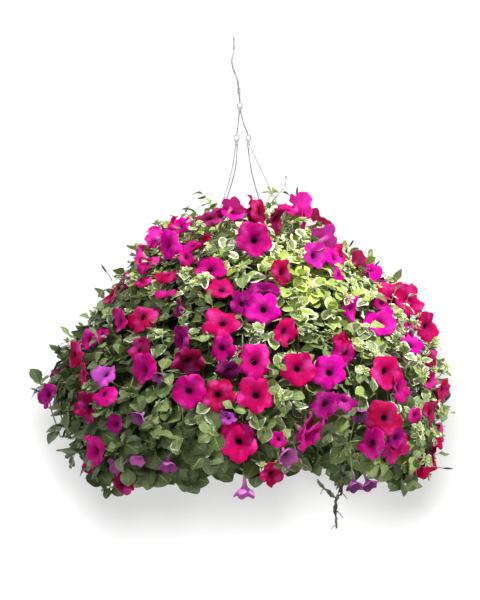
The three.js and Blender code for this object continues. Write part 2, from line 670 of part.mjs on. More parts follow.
function backBlooms() {
  const blooms = [];
  for (let i = 0; i < BACK_BLOOMS; i++) {
    const turnShare = (i * GOLDEN_TURN) % 1;
    const angle = Math.PI * between(-0.02, 1.02, turnShare);
    const level = between(BACK_HIGHEST, BACK_LOWEST, ((i + 0.5) / BACK_BLOOMS) ** 0.85);
    const centre = moundPoint(angle, level, 0);
    const face = moundOut(angle, level).addScaledVector(alongRing(angle), 0.9 * (draw(i, 21) - 0.5))
      .addScaledVector(UP, 0.8 * (draw(i, 22) - 0.4)).normalize();
    blooms.push({ centre, width: between(40, 58, draw(i, 23)), face, wilted: i % 9 === 8 });
  }
  return blooms;
}

// Moves blooms apart along the mound until their rims stand clear of each other
function spreadBlooms(blooms) {
  for (let round = 0; round < SPREAD_ROUNDS; round++) {
    for (let i = 0; i < blooms.length; i++) {
      for (let j = 0; j < i; j++) {
        const apart = blooms[i].centre.clone().sub(blooms[j].centre);
        const short = (blooms[i].width + blooms[j].width) * 0.5 - apart.length();
        if (short > 0) {
          apart.setLength(short * 0.5);
          blooms[i].centre.add(apart);
          blooms[j].centre.sub(apart);
        }
      }
    }
    for (const bloom of blooms) {
      const radius = moundRadius(bloom.centre.z);
      const now = Math.hypot(bloom.centre.x, bloom.centre.y);
      const pull = 1 + 0.5 * (radius / now - 1);
      bloom.centre.x *= pull;
      bloom.centre.y *= pull;
    }
  }
  return blooms;
}

// Blooms: their form
function bloomSolid(bloom, root, bent) {
  const { centre, face, width, wilted } = bloom;
  const reference = Math.abs(face.z) > 0.95 ? point(1, 0, 0) : UP;
  const start = new THREE.Vector3().crossVectors(face, reference).normalize();
  const other = new THREE.Vector3().crossVectors(face, start);
  const [spread, long] = wilted ? [0.62, 1.5] : [1, 1];
  const rim = [];
  for (let i = 0; i < 10; i++) {
    const turn = (i * Math.PI) / 5 + Math.PI / 10;
    const reach = (i % 2 ? NOTCH : 1) * 0.5 * width * spread;
    rim.push(centre.clone().addScaledVector(start, reach * Math.cos(turn))
      .addScaledVector(other, reach * Math.sin(turn))
      .addScaledVector(face, (i % 2 ? 0.02 : -0.04) * width));
  }
  const throat = centre.clone().addScaledVector(face, -THROAT * width);
  const neck = centre.clone().addScaledVector(face, -NECK_DEPTH * width * long);
  const calyx = centre.clone().addScaledVector(face, -CALYX_DEPTH * width * long).lerp(root, 0.3);
  const tubeWay = calyx.clone().sub(neck).normalize();
  const stalkWay = root.clone().sub(bent ? calyx : neck).normalize();
  const back = face.clone().negate();
  const neckStart = start.clone();
  const calyxStart = carried(neckStart, back, tubeWay);
  const rootStart = bent ? carried(calyxStart, tubeWay, stalkWay) : carried(neckStart, back, stalkWay);
  const calyxRing = roundRing(calyx, tubeWay.clone().negate(), calyxStart, PEDICEL_RADIUS * 1.4, 3);
  return skin([
    [throat], rim,
    roundRing(neck, face, neckStart, NECK_RADIUS * width, 3),
    ...(bent ? [calyxRing] : []),
    roundRing(root, stalkWay.clone().negate(), rootStart, PEDICEL_RADIUS, 3),
  ]);
}

// Flowering stems
function bloomStem(name, angle, distance, route) {
  const foot = plant(angle, distance, BLOOM_STEM_RADIUS);
  const line = [foot, ...route];
  return { name, angle, line, body: branch(line, BLOOM_STEM_RADIUS, 4), blooms: [] };
}

function trailingBloomStem(index) {
  const middle = (index * 2 * Math.PI) / TRAILS;
  const angle = middle + BLOOM_STEM_SIDE_STEP / TRAIL_ROOT_RING;
  const route = BLOOM_STEM_RISE.map(([radius, level]) => onAxisPlane(angle, radius, level));
  for (const level of BLOOM_STEM_LEVELS) {
    const radius = Math.max(moundRadius(level), 1);
    route.push(moundPoint(middle + BLOOM_STEM_SIDE_STEP / radius, level, BLOOM_STEM_DEPTH));
  }
  return bloomStem(`flowering_trail_${index + 1}`, angle, TRAIL_ROOT_RING, route);
}

function crownBloomStem(index, degrees) {
  const angle = radians(degrees + CROWN_STEM_ANGLE);
  const route = CROWN_STEM_RISE.map(([radius, level]) => onAxisPlane(angle, radius, level));
  return bloomStem(`flowering_crown_${index + 1}`, angle, CROWN_STEM_RING, route);
}

function turnBetween(a, b) {
  const turn = Math.abs(a - b) % (2 * Math.PI);
  return Math.min(turn, 2 * Math.PI - turn);
}

function shareOut(blooms, trails, crowns) {
  for (const bloom of blooms) {
    const angle = Math.atan2(bloom.centre.y, bloom.centre.x);
    const stems = bloom.centre.z > CROWN_BLOOM_LEVEL ? crowns : trails;
    const nearest = stems.reduce((best, stem) => (
      turnBetween(stem.angle, angle) < turnBetween(best.angle, angle) ? stem : best));
    nearest.blooms.push(bloom);
  }
}

// Points along a flowering stem, the nearest to a bloom first
function rootsFor(bloom, line) {
  const roots = [];
  for (let i = 2; i < line.length; i++) {
    for (const part of [0.25, 0.5, 0.75, 1]) roots.push(line[i - 1].clone().lerp(line[i], part));
  }
  const behind = bloom.centre.clone().addScaledVector(bloom.face, -0.7 * bloom.width);
  return roots.sort((a, b) => a.distanceTo(behind) - b.distanceTo(behind));
}

function floweringStem(stem) {
  const solids = [stem.body];
  const ownBlooms = `${stem.name} blooms`;
  for (const bloom of stem.blooms) {
    const choices = rootsFor(bloom, stem.line).slice(0, 8)
      .flatMap((root) => [bloomSolid(bloom, root, false), bloomSolid(bloom, root, true)]);
    const chosen = choices.find((solid) => isClear(solid, stem.name))
      ?? choices.find((solid) => isClear(solid, stem.name, ownBlooms));
    const solid = chosen ?? choices[0];
    solids.push(solid);
    keep(ownBlooms, solid);
  }
  return largestBody(fuse(solids));
}

// Dead stem
function deadStem() {
  const angle = radians(DEAD_ANGLE) - BLOOM_STEM_SIDE_STEP / TRAIL_ROOT_RING;
  const foot = plant(angle, DEAD_ROOT_RING, DEAD_RADIUS);
  const front = ([across, level]) => point(across, -Math.sqrt(DEAD_HANG_RADIUS ** 2 - across ** 2), level);
  const points = [foot, ...DEAD_OVER_RIM.map(([radius, level]) => onAxisPlane(angle, radius, level))];
  for (const level of DEAD_LEVELS) points.push(moundPoint(angle, level, DEAD_DEPTH));
  points.push(...DEAD_HANG.map(front));
  const fork = DEAD_FORK.map(front);
  return fuse([branch(points, DEAD_RADIUS, 5), branch(fork, DEAD_RADIUS * 0.7, 4)]);
}

// Assembly: everything is made round the pot's axis, and then moved so that the hook stands at the origin
const basket = new THREE.Group();
basket.position.x = HOOK_LEAN;

function addPiece(name, solid, colour) {
  const mesh = new THREE.Mesh(geometryOf(solid), new THREE.MeshStandardMaterial(COLOURS[colour]));
  mesh.name = name;
  basket.add(mesh);
}

function addHanger() {
  const pieces = {
    hanger_hook: hookSolid(),
    hanger_leg_left: legSolid(-1, LEFT_EYE_X, 1),
    hanger_leg_right: legSolid(1, RIGHT_EYE_X, 2),
    strand_front_left: strandSolid('front_left', LEFT_EYE_X, -1),
    strand_back_left: strandSolid('back_left', LEFT_EYE_X, 1),
    strand_back_right: strandSolid('back_right', RIGHT_EYE_X, -1),
    strand_front_right: strandSolid('front_right', RIGHT_EYE_X, 1),
  };
  for (const [name, solid] of Object.entries(pieces)) {
    keep(name, solid);
    addPiece(name, solid, 'wire');
  }
}

function addPlants() {
  const trails = Array.from({ length: TRAILS }, (_, i) => trailCore(i));
  const clumps = Array.from({ length: CLUMPS }, (_, i) => clumpCore(i));
  for (const core of [...trails, ...clumps]) keep(core.name, core.body);
  const dead = deadStem();
  keep('dead_stem', dead);
  addPiece('dead_stem', dead, 'dead');
  const trailing = Array.from({ length: TRAILS }, (_, i) => trailingBloomStem(i));
  const crowning = Object.values(CLIP_ANGLES).map((degrees, i) => crownBloomStem(i, degrees));
  for (const stem of [...trailing, ...crowning]) keep(stem.name, stem.body);
  shareOut(spreadBlooms([...frontBlooms(), ...backBlooms()]), trailing, crowning);
  for (const stem of [...trailing, ...crowning]) addPiece(stem.name, floweringStem(stem), 'petal');
  trails.forEach((trail, i) => addPiece(trail.name, leafyTrail(trail, i), 'leaf'));
  clumps.forEach((clump, i) => addPiece(clump.name, leafyClump(clump, i), 'leaf'));
}

addHanger();
const pot = potSolid();
keep('pot', pot);
addPiece('pot', pot, 'pot');
addPlants();
addPiece('soil', soilSolid(), 'soil');

export default basket;
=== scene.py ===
import math

import bpy
import numpy as np
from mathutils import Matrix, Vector, noise


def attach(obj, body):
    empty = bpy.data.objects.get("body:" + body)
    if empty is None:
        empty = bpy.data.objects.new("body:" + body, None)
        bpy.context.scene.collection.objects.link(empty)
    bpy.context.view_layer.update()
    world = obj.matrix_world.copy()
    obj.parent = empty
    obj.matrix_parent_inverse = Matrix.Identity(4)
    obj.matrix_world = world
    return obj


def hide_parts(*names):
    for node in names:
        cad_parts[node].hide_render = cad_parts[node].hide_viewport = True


# A hanging basket of trailing petunias, dressed on its CAD frame, +Z up and seen from -Y. The view is
# given in metres, and the pieces in millimetres from the pot's axis.
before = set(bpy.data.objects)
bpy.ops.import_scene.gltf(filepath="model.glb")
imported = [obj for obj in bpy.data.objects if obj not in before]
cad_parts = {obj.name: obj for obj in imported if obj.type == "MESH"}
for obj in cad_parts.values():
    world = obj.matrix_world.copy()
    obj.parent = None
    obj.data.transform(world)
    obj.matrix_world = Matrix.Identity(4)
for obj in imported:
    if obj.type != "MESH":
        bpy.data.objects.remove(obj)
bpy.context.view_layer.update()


# View. The basket hangs before a white studio sweep, seen from 10 m away through a long lens at the height
# of its crown. A high sun-like key stands at the right and a wide soft fill at the left. The wash lights
# only the sweep, where the soft shadow of the basket falls.
POT_AXIS = 0.009
EYE_DISTANCE, EYE_HEIGHT = 10000, -260
EYE = (POT_AXIS, -EYE_DISTANCE * 0.001, EYE_HEIGHT * 0.001)
SEEN_MIDDLE, LENS = (POT_AXIS, 0, -0.393), 400
FLOOR_LEVEL, SWEEP_SIZE, SWEEP_BACK, SWEEP_HEIGHT, SWEEP_BEND = -2.4, 12, 0.5, 8, 0.35
PAPER, PAPER_GLOW, SKY_GLOW = (0.8, 0.8, 0.8), 0.26, 0.2
LIT_MIDDLE = (0, 0, -0.45)
LAMPS = (
    ("key", "SUN", (1.6, -1.5, 2.2), 4.4, {"angle": math.radians(3)}, "EXCLUDE"),
    ("fill", "AREA", (-1.2, -3.0, 0.6), 40, {"size": 1.6}, "EXCLUDE"),
    ("backdrop_wash", "AREA", (0, -5, 0.08), 262, {"size": 0.75}, "INCLUDE"),
)


def deselect():
    bpy.ops.object.select_all(action="DESELECT")


def alone(piece):
    """Makes one piece the active one, and the only one that is selected."""
    deselect()
    piece.select_set(True)
    bpy.context.view_layer.objects.active = piece


def pick(piece, wanted):
    """Goes to edit mode, with the vertices selected whose place passes the test."""
    bpy.ops.object.mode_set(mode="OBJECT")
    vertices = piece.data.vertices
    for vertex in vertices:
        vertex.select = bool(wanted(vertex.co))
    for part in (*piece.data.edges, *piece.data.polygons):
        part.select = all(vertices[i].select for i in part.vertices)
    bpy.ops.object.mode_set(mode="EDIT")


def done_editing():
    bpy.ops.object.mode_set(mode="OBJECT")
    return bpy.context.object


def in_scene(name, data):
    made = bpy.data.objects.new(name, data)
    bpy.context.scene.collection.objects.link(made)
    return made


def aim_at(made, place, middle):
    made.location = place
    made.rotation_euler = (Vector(middle) - Vector(place)).to_track_quat("-Z", "Y").to_euler()


def linear(red, green, blue):
    """A colour of 0 to 255 as a screen shows it, in the renderer's own values."""
    return tuple(
        c / 12.92 if c <= 0.04045 else ((c + 0.055) / 1.055) ** 2.4
        for c in (red / 255, green / 255, blue / 255)
    )


class Finish:
    """A material whose nodes are put down one at a time. Colours to mix are 0 to 255, or a node's."""

    def __init__(self, name):
        self.material = bpy.data.materials.new(name)
        self.material.use_nodes = True
        self.tree = self.material.node_tree
        self.shader = self.tree.nodes["Principled BSDF"]

    def put(self, kind, sockets=None, **settings):
        made = self.tree.nodes.new(kind)
        for key, value in settings.items():
            setattr(made, key, value)
        for socket, value in (sockets or {}).items():
            self.join(value, made.inputs[socket])
        return made.outputs

    def join(self, value, socket):
        if isinstance(value, bpy.types.NodeSocket):
            self.tree.links.new(value, socket)
        else:
            socket.default_value = value

    def calc(self, operation, *values):
        return self.put("ShaderNodeMath", dict(enumerate(values)), operation=operation)[0]

    def plus(self, first, second):
        return self.calc("ADD", first, second)

    def times(self, first, second):
        return self.calc("MULTIPLY", first, second)

    def ramp(self, value, low, high, out_low=0.0, out_high=1.0):
        sockets = {0: value, 1: low, 2: high, 3: out_low, 4: out_high}
        return self.put("ShaderNodeMapRange", sockets, interpolation_type="SMOOTHSTEP")[0]

    def mix(self, share, *colours):
        first, second = (c if isinstance(c, bpy.types.NodeSocket) else (*linear(*c), 1) for c in colours)
        return self.put("ShaderNodeMix", {0: share, 6: first, 7: second}, data_type="RGBA")[2]

    def mottled(self, cloud, first, second, low=0.35, high=0.7):
        return self.mix(self.ramp(cloud, low, high), first, second)

    def brighter(self, colour, value):
        return self.put("ShaderNodeHueSaturation", {"Value": value, "Color": colour})[0]

    def grain(self, scale, detail=2.0, roughness=0.5):
        place = self.put("ShaderNodeTexCoord")["Object"]
        sockets = {"Vector": place, "Scale": scale, "Detail": detail, "Roughness": roughness}
        return self.put("ShaderNodeTexNoise", sockets)["Fac"]

    def tone(self):
        """What each point of a piece notes of itself: see Gathering."""
        return self.put("ShaderNodeAttribute", attribute_name="tone")["Color"]

    def chart(self):
        return self.put("ShaderNodeUVMap", uv_map="map")[0]

    def relief(self, height, strength, distance):
        sockets = {"Height": height, "Strength": strength, "Distance": distance}
        self.join(self.put("ShaderNodeBump", sockets)[0], self.shader.inputs["Normal"])

    def give(self, **sockets):
        for name, value in sockets.items():
            value = (*value, 1) if isinstance(value, tuple) else value
            self.join(value, self.shader.inputs[name.replace("_", " ").title().replace("Ior", "IOR")])
        return self.material


camera = in_scene("camera", bpy.data.cameras.new("camera"))
aim_at(camera, EYE, SEEN_MIDDLE)
camera.data.lens = LENS
bpy.context.scene.camera = camera
bpy.context.scene.view_settings.view_transform = "Standard"

deselect()
bpy.ops.mesh.primitive_plane_add(size=SWEEP_SIZE, location=(0, SWEEP_BACK - SWEEP_SIZE / 2, FLOOR_LEVEL))
sweep = bpy.context.object
pick(sweep, lambda place: place.y > SWEEP_SIZE / 2 - 1)
bpy.ops.mesh.extrude_edges_move(TRANSFORM_OT_translate={"value": (0, 0, SWEEP_HEIGHT)})
pick(sweep, lambda place: place.y > SWEEP_SIZE / 2 - 1 and place.z < 1)
bpy.ops.mesh.bevel(offset=SWEEP_BEND, segments=16, affect="EDGES")
done_editing()
bpy.ops.object.shade_smooth()
sweep.name = "studio_sweep"
paper = Finish("studio_paper")
# Seen from behind, the sweep is clear, so that the back of the basket can be looked at
behind = paper.put("ShaderNodeNewGeometry")["Backfacing"]
clear = paper.put("ShaderNodeBsdfTransparent")[0]
seen = paper.put("ShaderNodeMixShader", {0: behind, 1: paper.shader.outputs[0], 2: clear})[0]
paper.join(seen, paper.tree.nodes["Material Output"].inputs["Surface"])
paper.give(base_color=PAPER, roughness=0.9, emission_color=(1.0, 1.0, 1.0), emission_strength=PAPER_GLOW)
sweep.data.materials.append(paper.material)

for name, kind, place, energy, settings, on_sweep in LAMPS:
    lamp = in_scene(name, bpy.data.lights.new(name, kind))
    aim_at(lamp, place, LIT_MIDDLE)
    lamp.data.energy = energy
    for key, value in settings.items():
        setattr(lamp.data, key, value)
    lamp.visible_camera = on_sweep == "EXCLUDE"
    backdrop = bpy.data.collections.new(name + "_backdrop")
    backdrop.objects.link(sweep)
    lamp.light_linking.receiver_collection = backdrop
    backdrop.collection_objects[0].light_linking.link_state = on_sweep
world = bpy.data.worlds.new("studio")
world.use_nodes = True
sky = world.node_tree.nodes["Background"].inputs
sky["Color"].default_value = (1, 1, 1, 1)
sky["Strength"].default_value = SKY_GLOW
bpy.context.scene.world = world


# Hanger. One galvanised wire is bent to a hook and a bowed shank, wrapped once above its eye; two legs
# hang in that eye, the right one doubled, and two strands hang in the eye of each leg, bowed out to the
# rim of the pot, where their bent ends are clipped through holes in the flange.
HOOK_WIRE, LEG_WIRE, STRAND_WIRE, WRAP_WIRE = 1.5, 1.1, 0.9, 0.75
HOOK_LEAN, HOOK_BEND, HOOK_MIDDLE = -9, 12.5, -11
HOOK_TURNS = range(-25, 236, 26)
SHANK = ((-11, 2, -28), (-12, 0, -36), (-9.5, 0, -48), (-4, 0, -62), (-1.5, 0, -80), (0, 0, -97))
EYE_RADIUS, EYE_SQUEEZE, LINK_RADIUS, LINK_SPREAD, LINK_PLAY = 5, 0.72, 4, 1.2, 0.8
SHANK_EYE, LEG_EYE, LEG_EYES = -102, -150, {"left": -5, "right": 12.7}
PAIR_GAP, LEG_BOW = 3.4, (0.45, 0, 0.55)
WRAP_TURNS, WRAP_FOOT, WRAP_TOP, WRAP_MIDDLE, WRAP_RADIUS = 5, -83.5, -74.5, -1.5, 1.9
CLIP_RADIUS, RIM_LEVEL = 140, -370
# Each strand's leg, its side of the leg's eye, degrees round the pot, and bow
STRANDS = {
    "front_left": ("left", -1, 234, 1.5),
    "back_left": ("left", 1, 144, 2.0),
    "back_right": ("right", -1, 54, 1.5),
    "front_right": ("right", 1, -36, 1.0),
}


def placed(points):
    """Points in millimetres from the pot's axis, as metres in the frame."""
    return np.asarray(points, float) * 0.001 + (POT_AXIS, 0, 0)


def smooth_line(points, steps):
    """A smooth line through the points, with so many steps to each stretch."""
    p = np.asarray(points, float)
    p = np.vstack([2 * p[0] - p[1], p, 2 * p[-1] - p[-2]])
    t = (np.arange(steps) / steps)[:, None]
    line = [
        0.5 * (2 * b + (c - a) * t + (2 * a - 5 * b + 4 * c - d) * t**2 + (3 * b - a - 3 * c + d) * t**3)
        for a, b, c, d in zip(p, p[1:], p[2:], p[3:])
    ]
    return np.vstack([*line, p[-2]])


def smoothed(piece, degrees):
    """Shades a piece smooth, but for edges that are sharper than this."""
    alone(piece)
    bpy.ops.object.shade_smooth_by_angle(angle=math.radians(degrees))


def wire_run(points, radius):
    """A round wire along points in millimetres."""
    curve = bpy.data.curves.new("wire", "CURVE")
    curve.dimensions = "3D"
    curve.bevel_depth = radius * 0.001
    curve.bevel_resolution = 3
    curve.use_fill_caps = True
    spline = curve.splines.new("POLY")
    spline.points.add(len(points) - 1)
    spline.points.foreach_set("co", np.c_[placed(points), np.ones(len(points))].ravel())
    alone(in_scene("wire", curve))
    bpy.ops.object.convert(target="MESH")
    smoothed(bpy.context.object, 50)
    return bpy.context.object


def wire_ring(centre, radius, wire, across):
    """A closed ring of wire that stands across the front, or a narrow eye that faces it."""
    deselect()
    bpy.ops.mesh.primitive_torus_add(
        location=placed(centre), rotation=(0, math.pi / 2, 0) if across else (math.pi / 2, 0, 0),
        major_segments=32, minor_segments=10, major_radius=radius * 0.001, minor_radius=wire * 0.001,
    )
    bpy.ops.object.shade_smooth()
    bpy.context.object.scale.x = 1 if across else EYE_SQUEEZE
    return bpy.context.object


def joined(parts, name):
    alone(parts[0])
    for part in parts:
        part.select_set(True)
    bpy.ops.object.join()
    bpy.ops.object.transform_apply(location=True, rotation=True, scale=True)
    whole = bpy.context.object
    whole.name = whole.data.name = name
    return whole


def link_centre(eye_x, eye_level, side, wire):
    """The middle of a link that hangs in an eye, a little to one side."""
    drop = math.sqrt(EYE_RADIUS**2 - LINK_SPREAD**2)
    top = eye_level - drop + LEG_WIRE + wire + LINK_PLAY
    return np.array((eye_x + side * LINK_SPREAD, 0, top - LINK_RADIUS))


def hook_wire():
    bend = [
        (HOOK_LEAN, -HOOK_BEND * math.cos(turn), HOOK_MIDDLE + HOOK_BEND * math.sin(turn))
        for turn in map(math.radians, HOOK_TURNS)
    ]
    shank = wire_run(smooth_line([*bend, *SHANK], 8), HOOK_WIRE)
    turns = np.linspace(0, WRAP_TURNS * 2 * math.pi, WRAP_TURNS * 16)
    rise = np.linspace(WRAP_FOOT, WRAP_TOP, len(turns))
    coil = np.c_[WRAP_MIDDLE + WRAP_RADIUS * np.cos(turns), WRAP_RADIUS * np.sin(turns), rise]
    eye = wire_ring((0, 0, SHANK_EYE), EYE_RADIUS, LEG_WIRE, False)
    return joined([shank, wire_run(coil, WRAP_WIRE), eye], "hook_and_shank")


def leg_wire(side, name, runs):
    """A leg with an eye at each end, of one run of wire or of two side by side."""
    top = link_centre(0, SHANK_EYE, side, LEG_WIRE)
    foot = np.array((LEG_EYES[name], 0, LEG_EYE))
    gap = PAIR_GAP / 2 if runs > 1 else 0
    parts = [wire_ring(top, LINK_RADIUS, LEG_WIRE, True), wire_ring(foot, EYE_RADIUS, LEG_WIRE, False)]
    for part in (-1, 1)[:runs]:
        start = top + (0, part * gap, gap * 0.3 - LINK_RADIUS)
        bow = top + (foot - top) * LEG_BOW + (0, part * gap, 0)
        line = [start, bow, foot + (0, part * gap * 0.3, EYE_RADIUS)]
        parts.append(wire_run(smooth_line(line, 10), LEG_WIRE))
    return joined(parts, f"leg_{name}")


def strand_wire(name):
    """A strand that leaves its link, bows out to the rim and ends bent in through the flange."""
    leg, side, degrees, bow = STRANDS[name]
    top = link_centre(LEG_EYES[leg], LEG_EYE, side, STRAND_WIRE)
    start = top - (0, 0, LINK_RADIUS)
    way = np.array((math.cos(math.radians(degrees)), math.sin(math.radians(degrees)), 0))
    clip = way * CLIP_RADIUS + (0, 0, RIM_LEVEL)
    line = [start]
    for share in (0.2, 0.45, 0.7, 0.88):
        line.append(start + (clip - start) * (share**bow, share**bow, share))
    line += [clip + (0, 0, 7), clip - (0, 0, 5.5), clip - way * 1.5 - (0, 0, 9.8)]
    ring = wire_ring(top, LINK_RADIUS, STRAND_WIRE, True)
    return joined([ring, wire_run(smooth_line(line, 8), STRAND_WIRE)], f"strand_wire_{name}")


def galvanised_finish():
    steel = Finish("galvanised_wire")
    spangle, cloud = steel.grain(900, 3), steel.grain(120, 2)
    colour = steel.mottled(cloud, (146, 149, 154), (190, 193, 198))
    steel.relief(spangle, 0.15, 0.0002)
    return steel.give(base_color=colour, metallic=0.25, roughness=steel.ramp(spangle, 0.3, 0.7, 0.34, 0.55))


def dress(piece, node, slot, *finishes):
    """Gives a piece its finishes and lets it stand for a node of the frame."""
    for finish in finishes:
        piece.data.materials.append(finish)
    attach(piece, "root")
    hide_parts(node)


galvanised = galvanised_finish()
dress(hook_wire(), "hanger_hook", "hanger_wire", galvanised)
dress(leg_wire(-1, "left", 1), "hanger_leg_left", "hanger_wire", galvanised)
dress(leg_wire(1, "right", 2), "hanger_leg_right", "hanger_wire", galvanised)
for name in STRANDS:
    dress(strand_wire(name), f"strand_{name}", "hanger_wire", galvanised)


# Pot. A dark green moulded plastic tub with straight drawn-in sides, a flat rim flange turned down at its
# edge, holes in the flange for the strands and drain holes in its floor. The foliage hides it.
POT_HEIGHT, POT_TOP, POT_BASE, POT_WALL, POT_EDGE = 165, 135, 97, 2.5, 0.7
FLANGE, FLANGE_DEEP, FLANGE_LIP = 145, 3.5, 9
CLIP_HOLE, DRAIN_HOLE, DRAIN_RING, DRAIN_HOLES = 2.4, 5, 62, 5
DRILL_REACH, AXIS_HOLE = 20, 2


def pot_radius(level):
    return POT_TOP + (POT_BASE - POT_TOP) * (RIM_LEVEL - level) / POT_HEIGHT


def on_axis_plane(turn, spots):
    """Points at one turn round the pot's axis, from their radius and level."""
    return [(radius * math.cos(turn), radius * math.sin(turn), level) for radius, level in spots]


def raised(rings, sides, across=0.0, fill_type="NGON"):
    """A round shell raised ring by ring, left in edit mode. Rings: radius and level in its own units."""
    deselect()
    (low, foot), *others = rings
    bpy.ops.mesh.primitive_circle_add(
        vertices=sides, radius=low, location=(across, 0, foot), fill_type=fill_type
    )
    bpy.ops.object.transform_apply(location=True)
    bpy.ops.object.mode_set(mode="EDIT")
    bpy.ops.mesh.select_all(action="SELECT")
    for high, top in others:
        bpy.ops.mesh.extrude_edges_move(TRANSFORM_OT_translate={"value": (0, 0, top - foot)})
        bpy.ops.transform.resize(value=(high / low, high / low, 1), center_override=(across, 0, top))
        low, foot = high, top
    bpy.ops.mesh.select_all(action="SELECT")
    return bpy.context.object


def turned(name, profile, sides):
    """A round piece on the pot's axis, closed at both ends. Profile: radius and level in millimetres."""
    rings = [(radius * 0.001, level * 0.001) for radius, level in profile]
    piece = raised(rings, sides, POT_AXIS, "NOTHING")
    bpy.ops.mesh.fill_holes(sides=0)
    bpy.ops.mesh.normals_make_consistent(inside=False)
    done_editing()
    piece.name = piece.data.name = name
    return piece


def drill(piece, radius, turn, ring, level):
    """A round hole straight down, at a turn round the pot's axis."""
    place = placed(on_axis_plane(turn, [(ring, level)])[0])
    deselect()
    bpy.ops.mesh.primitive_cylinder_add(
        vertices=24, radius=radius * 0.001, depth=DRILL_REACH * 0.001, location=place
    )
    bit = bpy.context.object
    cut = piece.modifiers.new("hole", "BOOLEAN")
    cut.object, cut.operation, cut.solver = bit, "DIFFERENCE", "EXACT"
    bpy.context.view_layer.objects.active = piece
    bpy.ops.object.modifier_apply(modifier=cut.name)
    bpy.data.objects.remove(bit)


def moulded_finish():
    plastic = Finish("moulded_green_plastic")
    grain, cloud = plastic.grain(1500, 2), plastic.grain(25, 3)
    colour = plastic.mottled(cloud, (38, 52, 40), (70, 74, 58), 0.4, 0.75)
    plastic.relief(grain, 0.2, 0.0003)
    return plastic.give(base_color=colour, roughness=plastic.ramp(cloud, 0.3, 0.7, 0.45, 0.65))


pot_foot, flange_foot = RIM_LEVEL - POT_HEIGHT, RIM_LEVEL - FLANGE_DEEP
tub = turned("plastic_pot", [
    (AXIS_HOLE, pot_foot), (POT_BASE, pot_foot), (pot_radius(flange_foot), flange_foot),
    (FLANGE - POT_WALL, flange_foot), (FLANGE - POT_WALL, flange_foot - FLANGE_LIP),
    (FLANGE, flange_foot - FLANGE_LIP), (FLANGE, RIM_LEVEL), (POT_TOP - POT_WALL, RIM_LEVEL),
    (POT_BASE - POT_WALL, pot_foot + POT_WALL), (AXIS_HOLE, pot_foot + POT_WALL),
], 96)
for _, _, degrees, _ in STRANDS.values():
    drill(tub, CLIP_HOLE, math.radians(degrees), CLIP_RADIUS, RIM_LEVEL)
for hole in range(DRAIN_HOLES):
    drill(tub, DRAIN_HOLE, hole * 2 * math.pi / DRAIN_HOLES, DRAIN_RING, pot_foot)
edges = tub.modifiers.new("edges", "BEVEL")
edges.width, edges.segments, edges.limit_method = POT_EDGE * 0.001, 2, "ANGLE"
bpy.ops.object.modifier_apply(modifier=edges.name)
smoothed(tub, 40)
dress(tub, "pot", "pot_plastic", moulded_finish())


# Soil. Dark peat mixed with bark and white grit, filled to 17 mm below the rim and raised a little in
# the middle. Every stem of the plants stands in it.
SOIL_LEVEL, SOIL_CROWN, SOIL_LUMPS, SOIL_RINGS = -387, 6, 2.2, 14
SOIL_GAP, FLOOR_GAP, LUMPY_RADIUS, LUMP_SCALE = 1.7, 0.35, 0.12, 110


def peat_finish():
    peat = Finish("peat_and_grit")
    crumb, bits = peat.grain(350, 4, 0.7), peat.grain(700, 1)
    colour = peat.mottled(crumb, (38, 26, 18), (92, 68, 48))
    colour = peat.mottled(bits, colour, (214, 208, 196), 0.7, 0.74)
    peat.relief(crumb, 0.8, 0.003)
    return peat.give(base_color=colour, roughness=0.95)


soil_foot = pot_foot + POT_WALL + FLOOR_GAP
soil_edge = pot_radius(SOIL_LEVEL) - POT_WALL - SOIL_GAP
soil_profile = [
    (AXIS_HOLE, soil_foot), (pot_radius(soil_foot) - POT_WALL - SOIL_GAP, soil_foot), (soil_edge, SOIL_LEVEL)
]
for ring in range(1, SOIL_RINGS):
    share = ring / SOIL_RINGS
    soil_profile.append((soil_edge * (1 - share), SOIL_LEVEL + SOIL_CROWN * math.sin(share * math.pi / 2)))
earth = turned("potting_soil", soil_profile, 72)
for vertex in earth.data.vertices:
    from_axis = (vertex.co.xy - Vector((POT_AXIS, 0))).length
    if vertex.co.z > (SOIL_LEVEL - 1) * 0.001 and from_axis < LUMPY_RADIUS:
        vertex.co.z += SOIL_LUMPS * 0.001 * noise.noise(vertex.co * LUMP_SCALE) - 0.001
smoothed(earth, 60)
dress(earth, "soil", "potting_soil", peat_finish())


# Mound. The plants fill a round mound that hangs over the pot, widest 300 mm below its top and drawn in
# under that. It is lumpy: fuller at the right and at its lower right hem, thinner at the left shoulder.
MOUND_TOP, MOUND_WIDEST, MOUND_RADIUS = -225, -525, 315
SKIRT_HEIGHT, SKIRT_PULL_IN = 150, 60
# Each lump as seen: across, level, and how far it stands out or lies back
LUMPS = (
    (-120, -270, -34), (-190, -345, -28), (-245, -425, -30), (-318, -530, -22), (-290, -592, -50),
    (-268, -645, -32), (150, -280, -38), (215, -340, 4), (285, -415, 26), (318, -590, -14), (290, -662, 12),
)
LUMP_SIZE = 48
UP = np.array((0.0, 0.0, 1.0))


def unit(v):
    return v / np.linalg.norm(v, axis=-1, keepdims=True)


def turn_of(place):
    return math.atan2(place[1], place[0])


def mound_radius(level):
    if level > MOUND_WIDEST:
        return MOUND_RADIUS * math.sqrt(max((MOUND_TOP - level) / (MOUND_TOP - MOUND_WIDEST), 0))
    return MOUND_RADIUS - SKIRT_PULL_IN * ((MOUND_WIDEST - level) / SKIRT_HEIGHT) ** 2


def mound_out(turn, level):
    """The way straight out of the mound's surface."""
    rise = mound_radius(level - 1) - mound_radius(level + 1)
    return unit(np.array((2 * math.cos(turn), 2 * math.sin(turn), rise)))


def mound_point(turn, level, depth):
    """A place at this depth under the mound's surface."""
    surface = on_axis_plane(turn, [(mound_radius(level), level)])[0]
    return surface - depth * mound_out(turn, level)


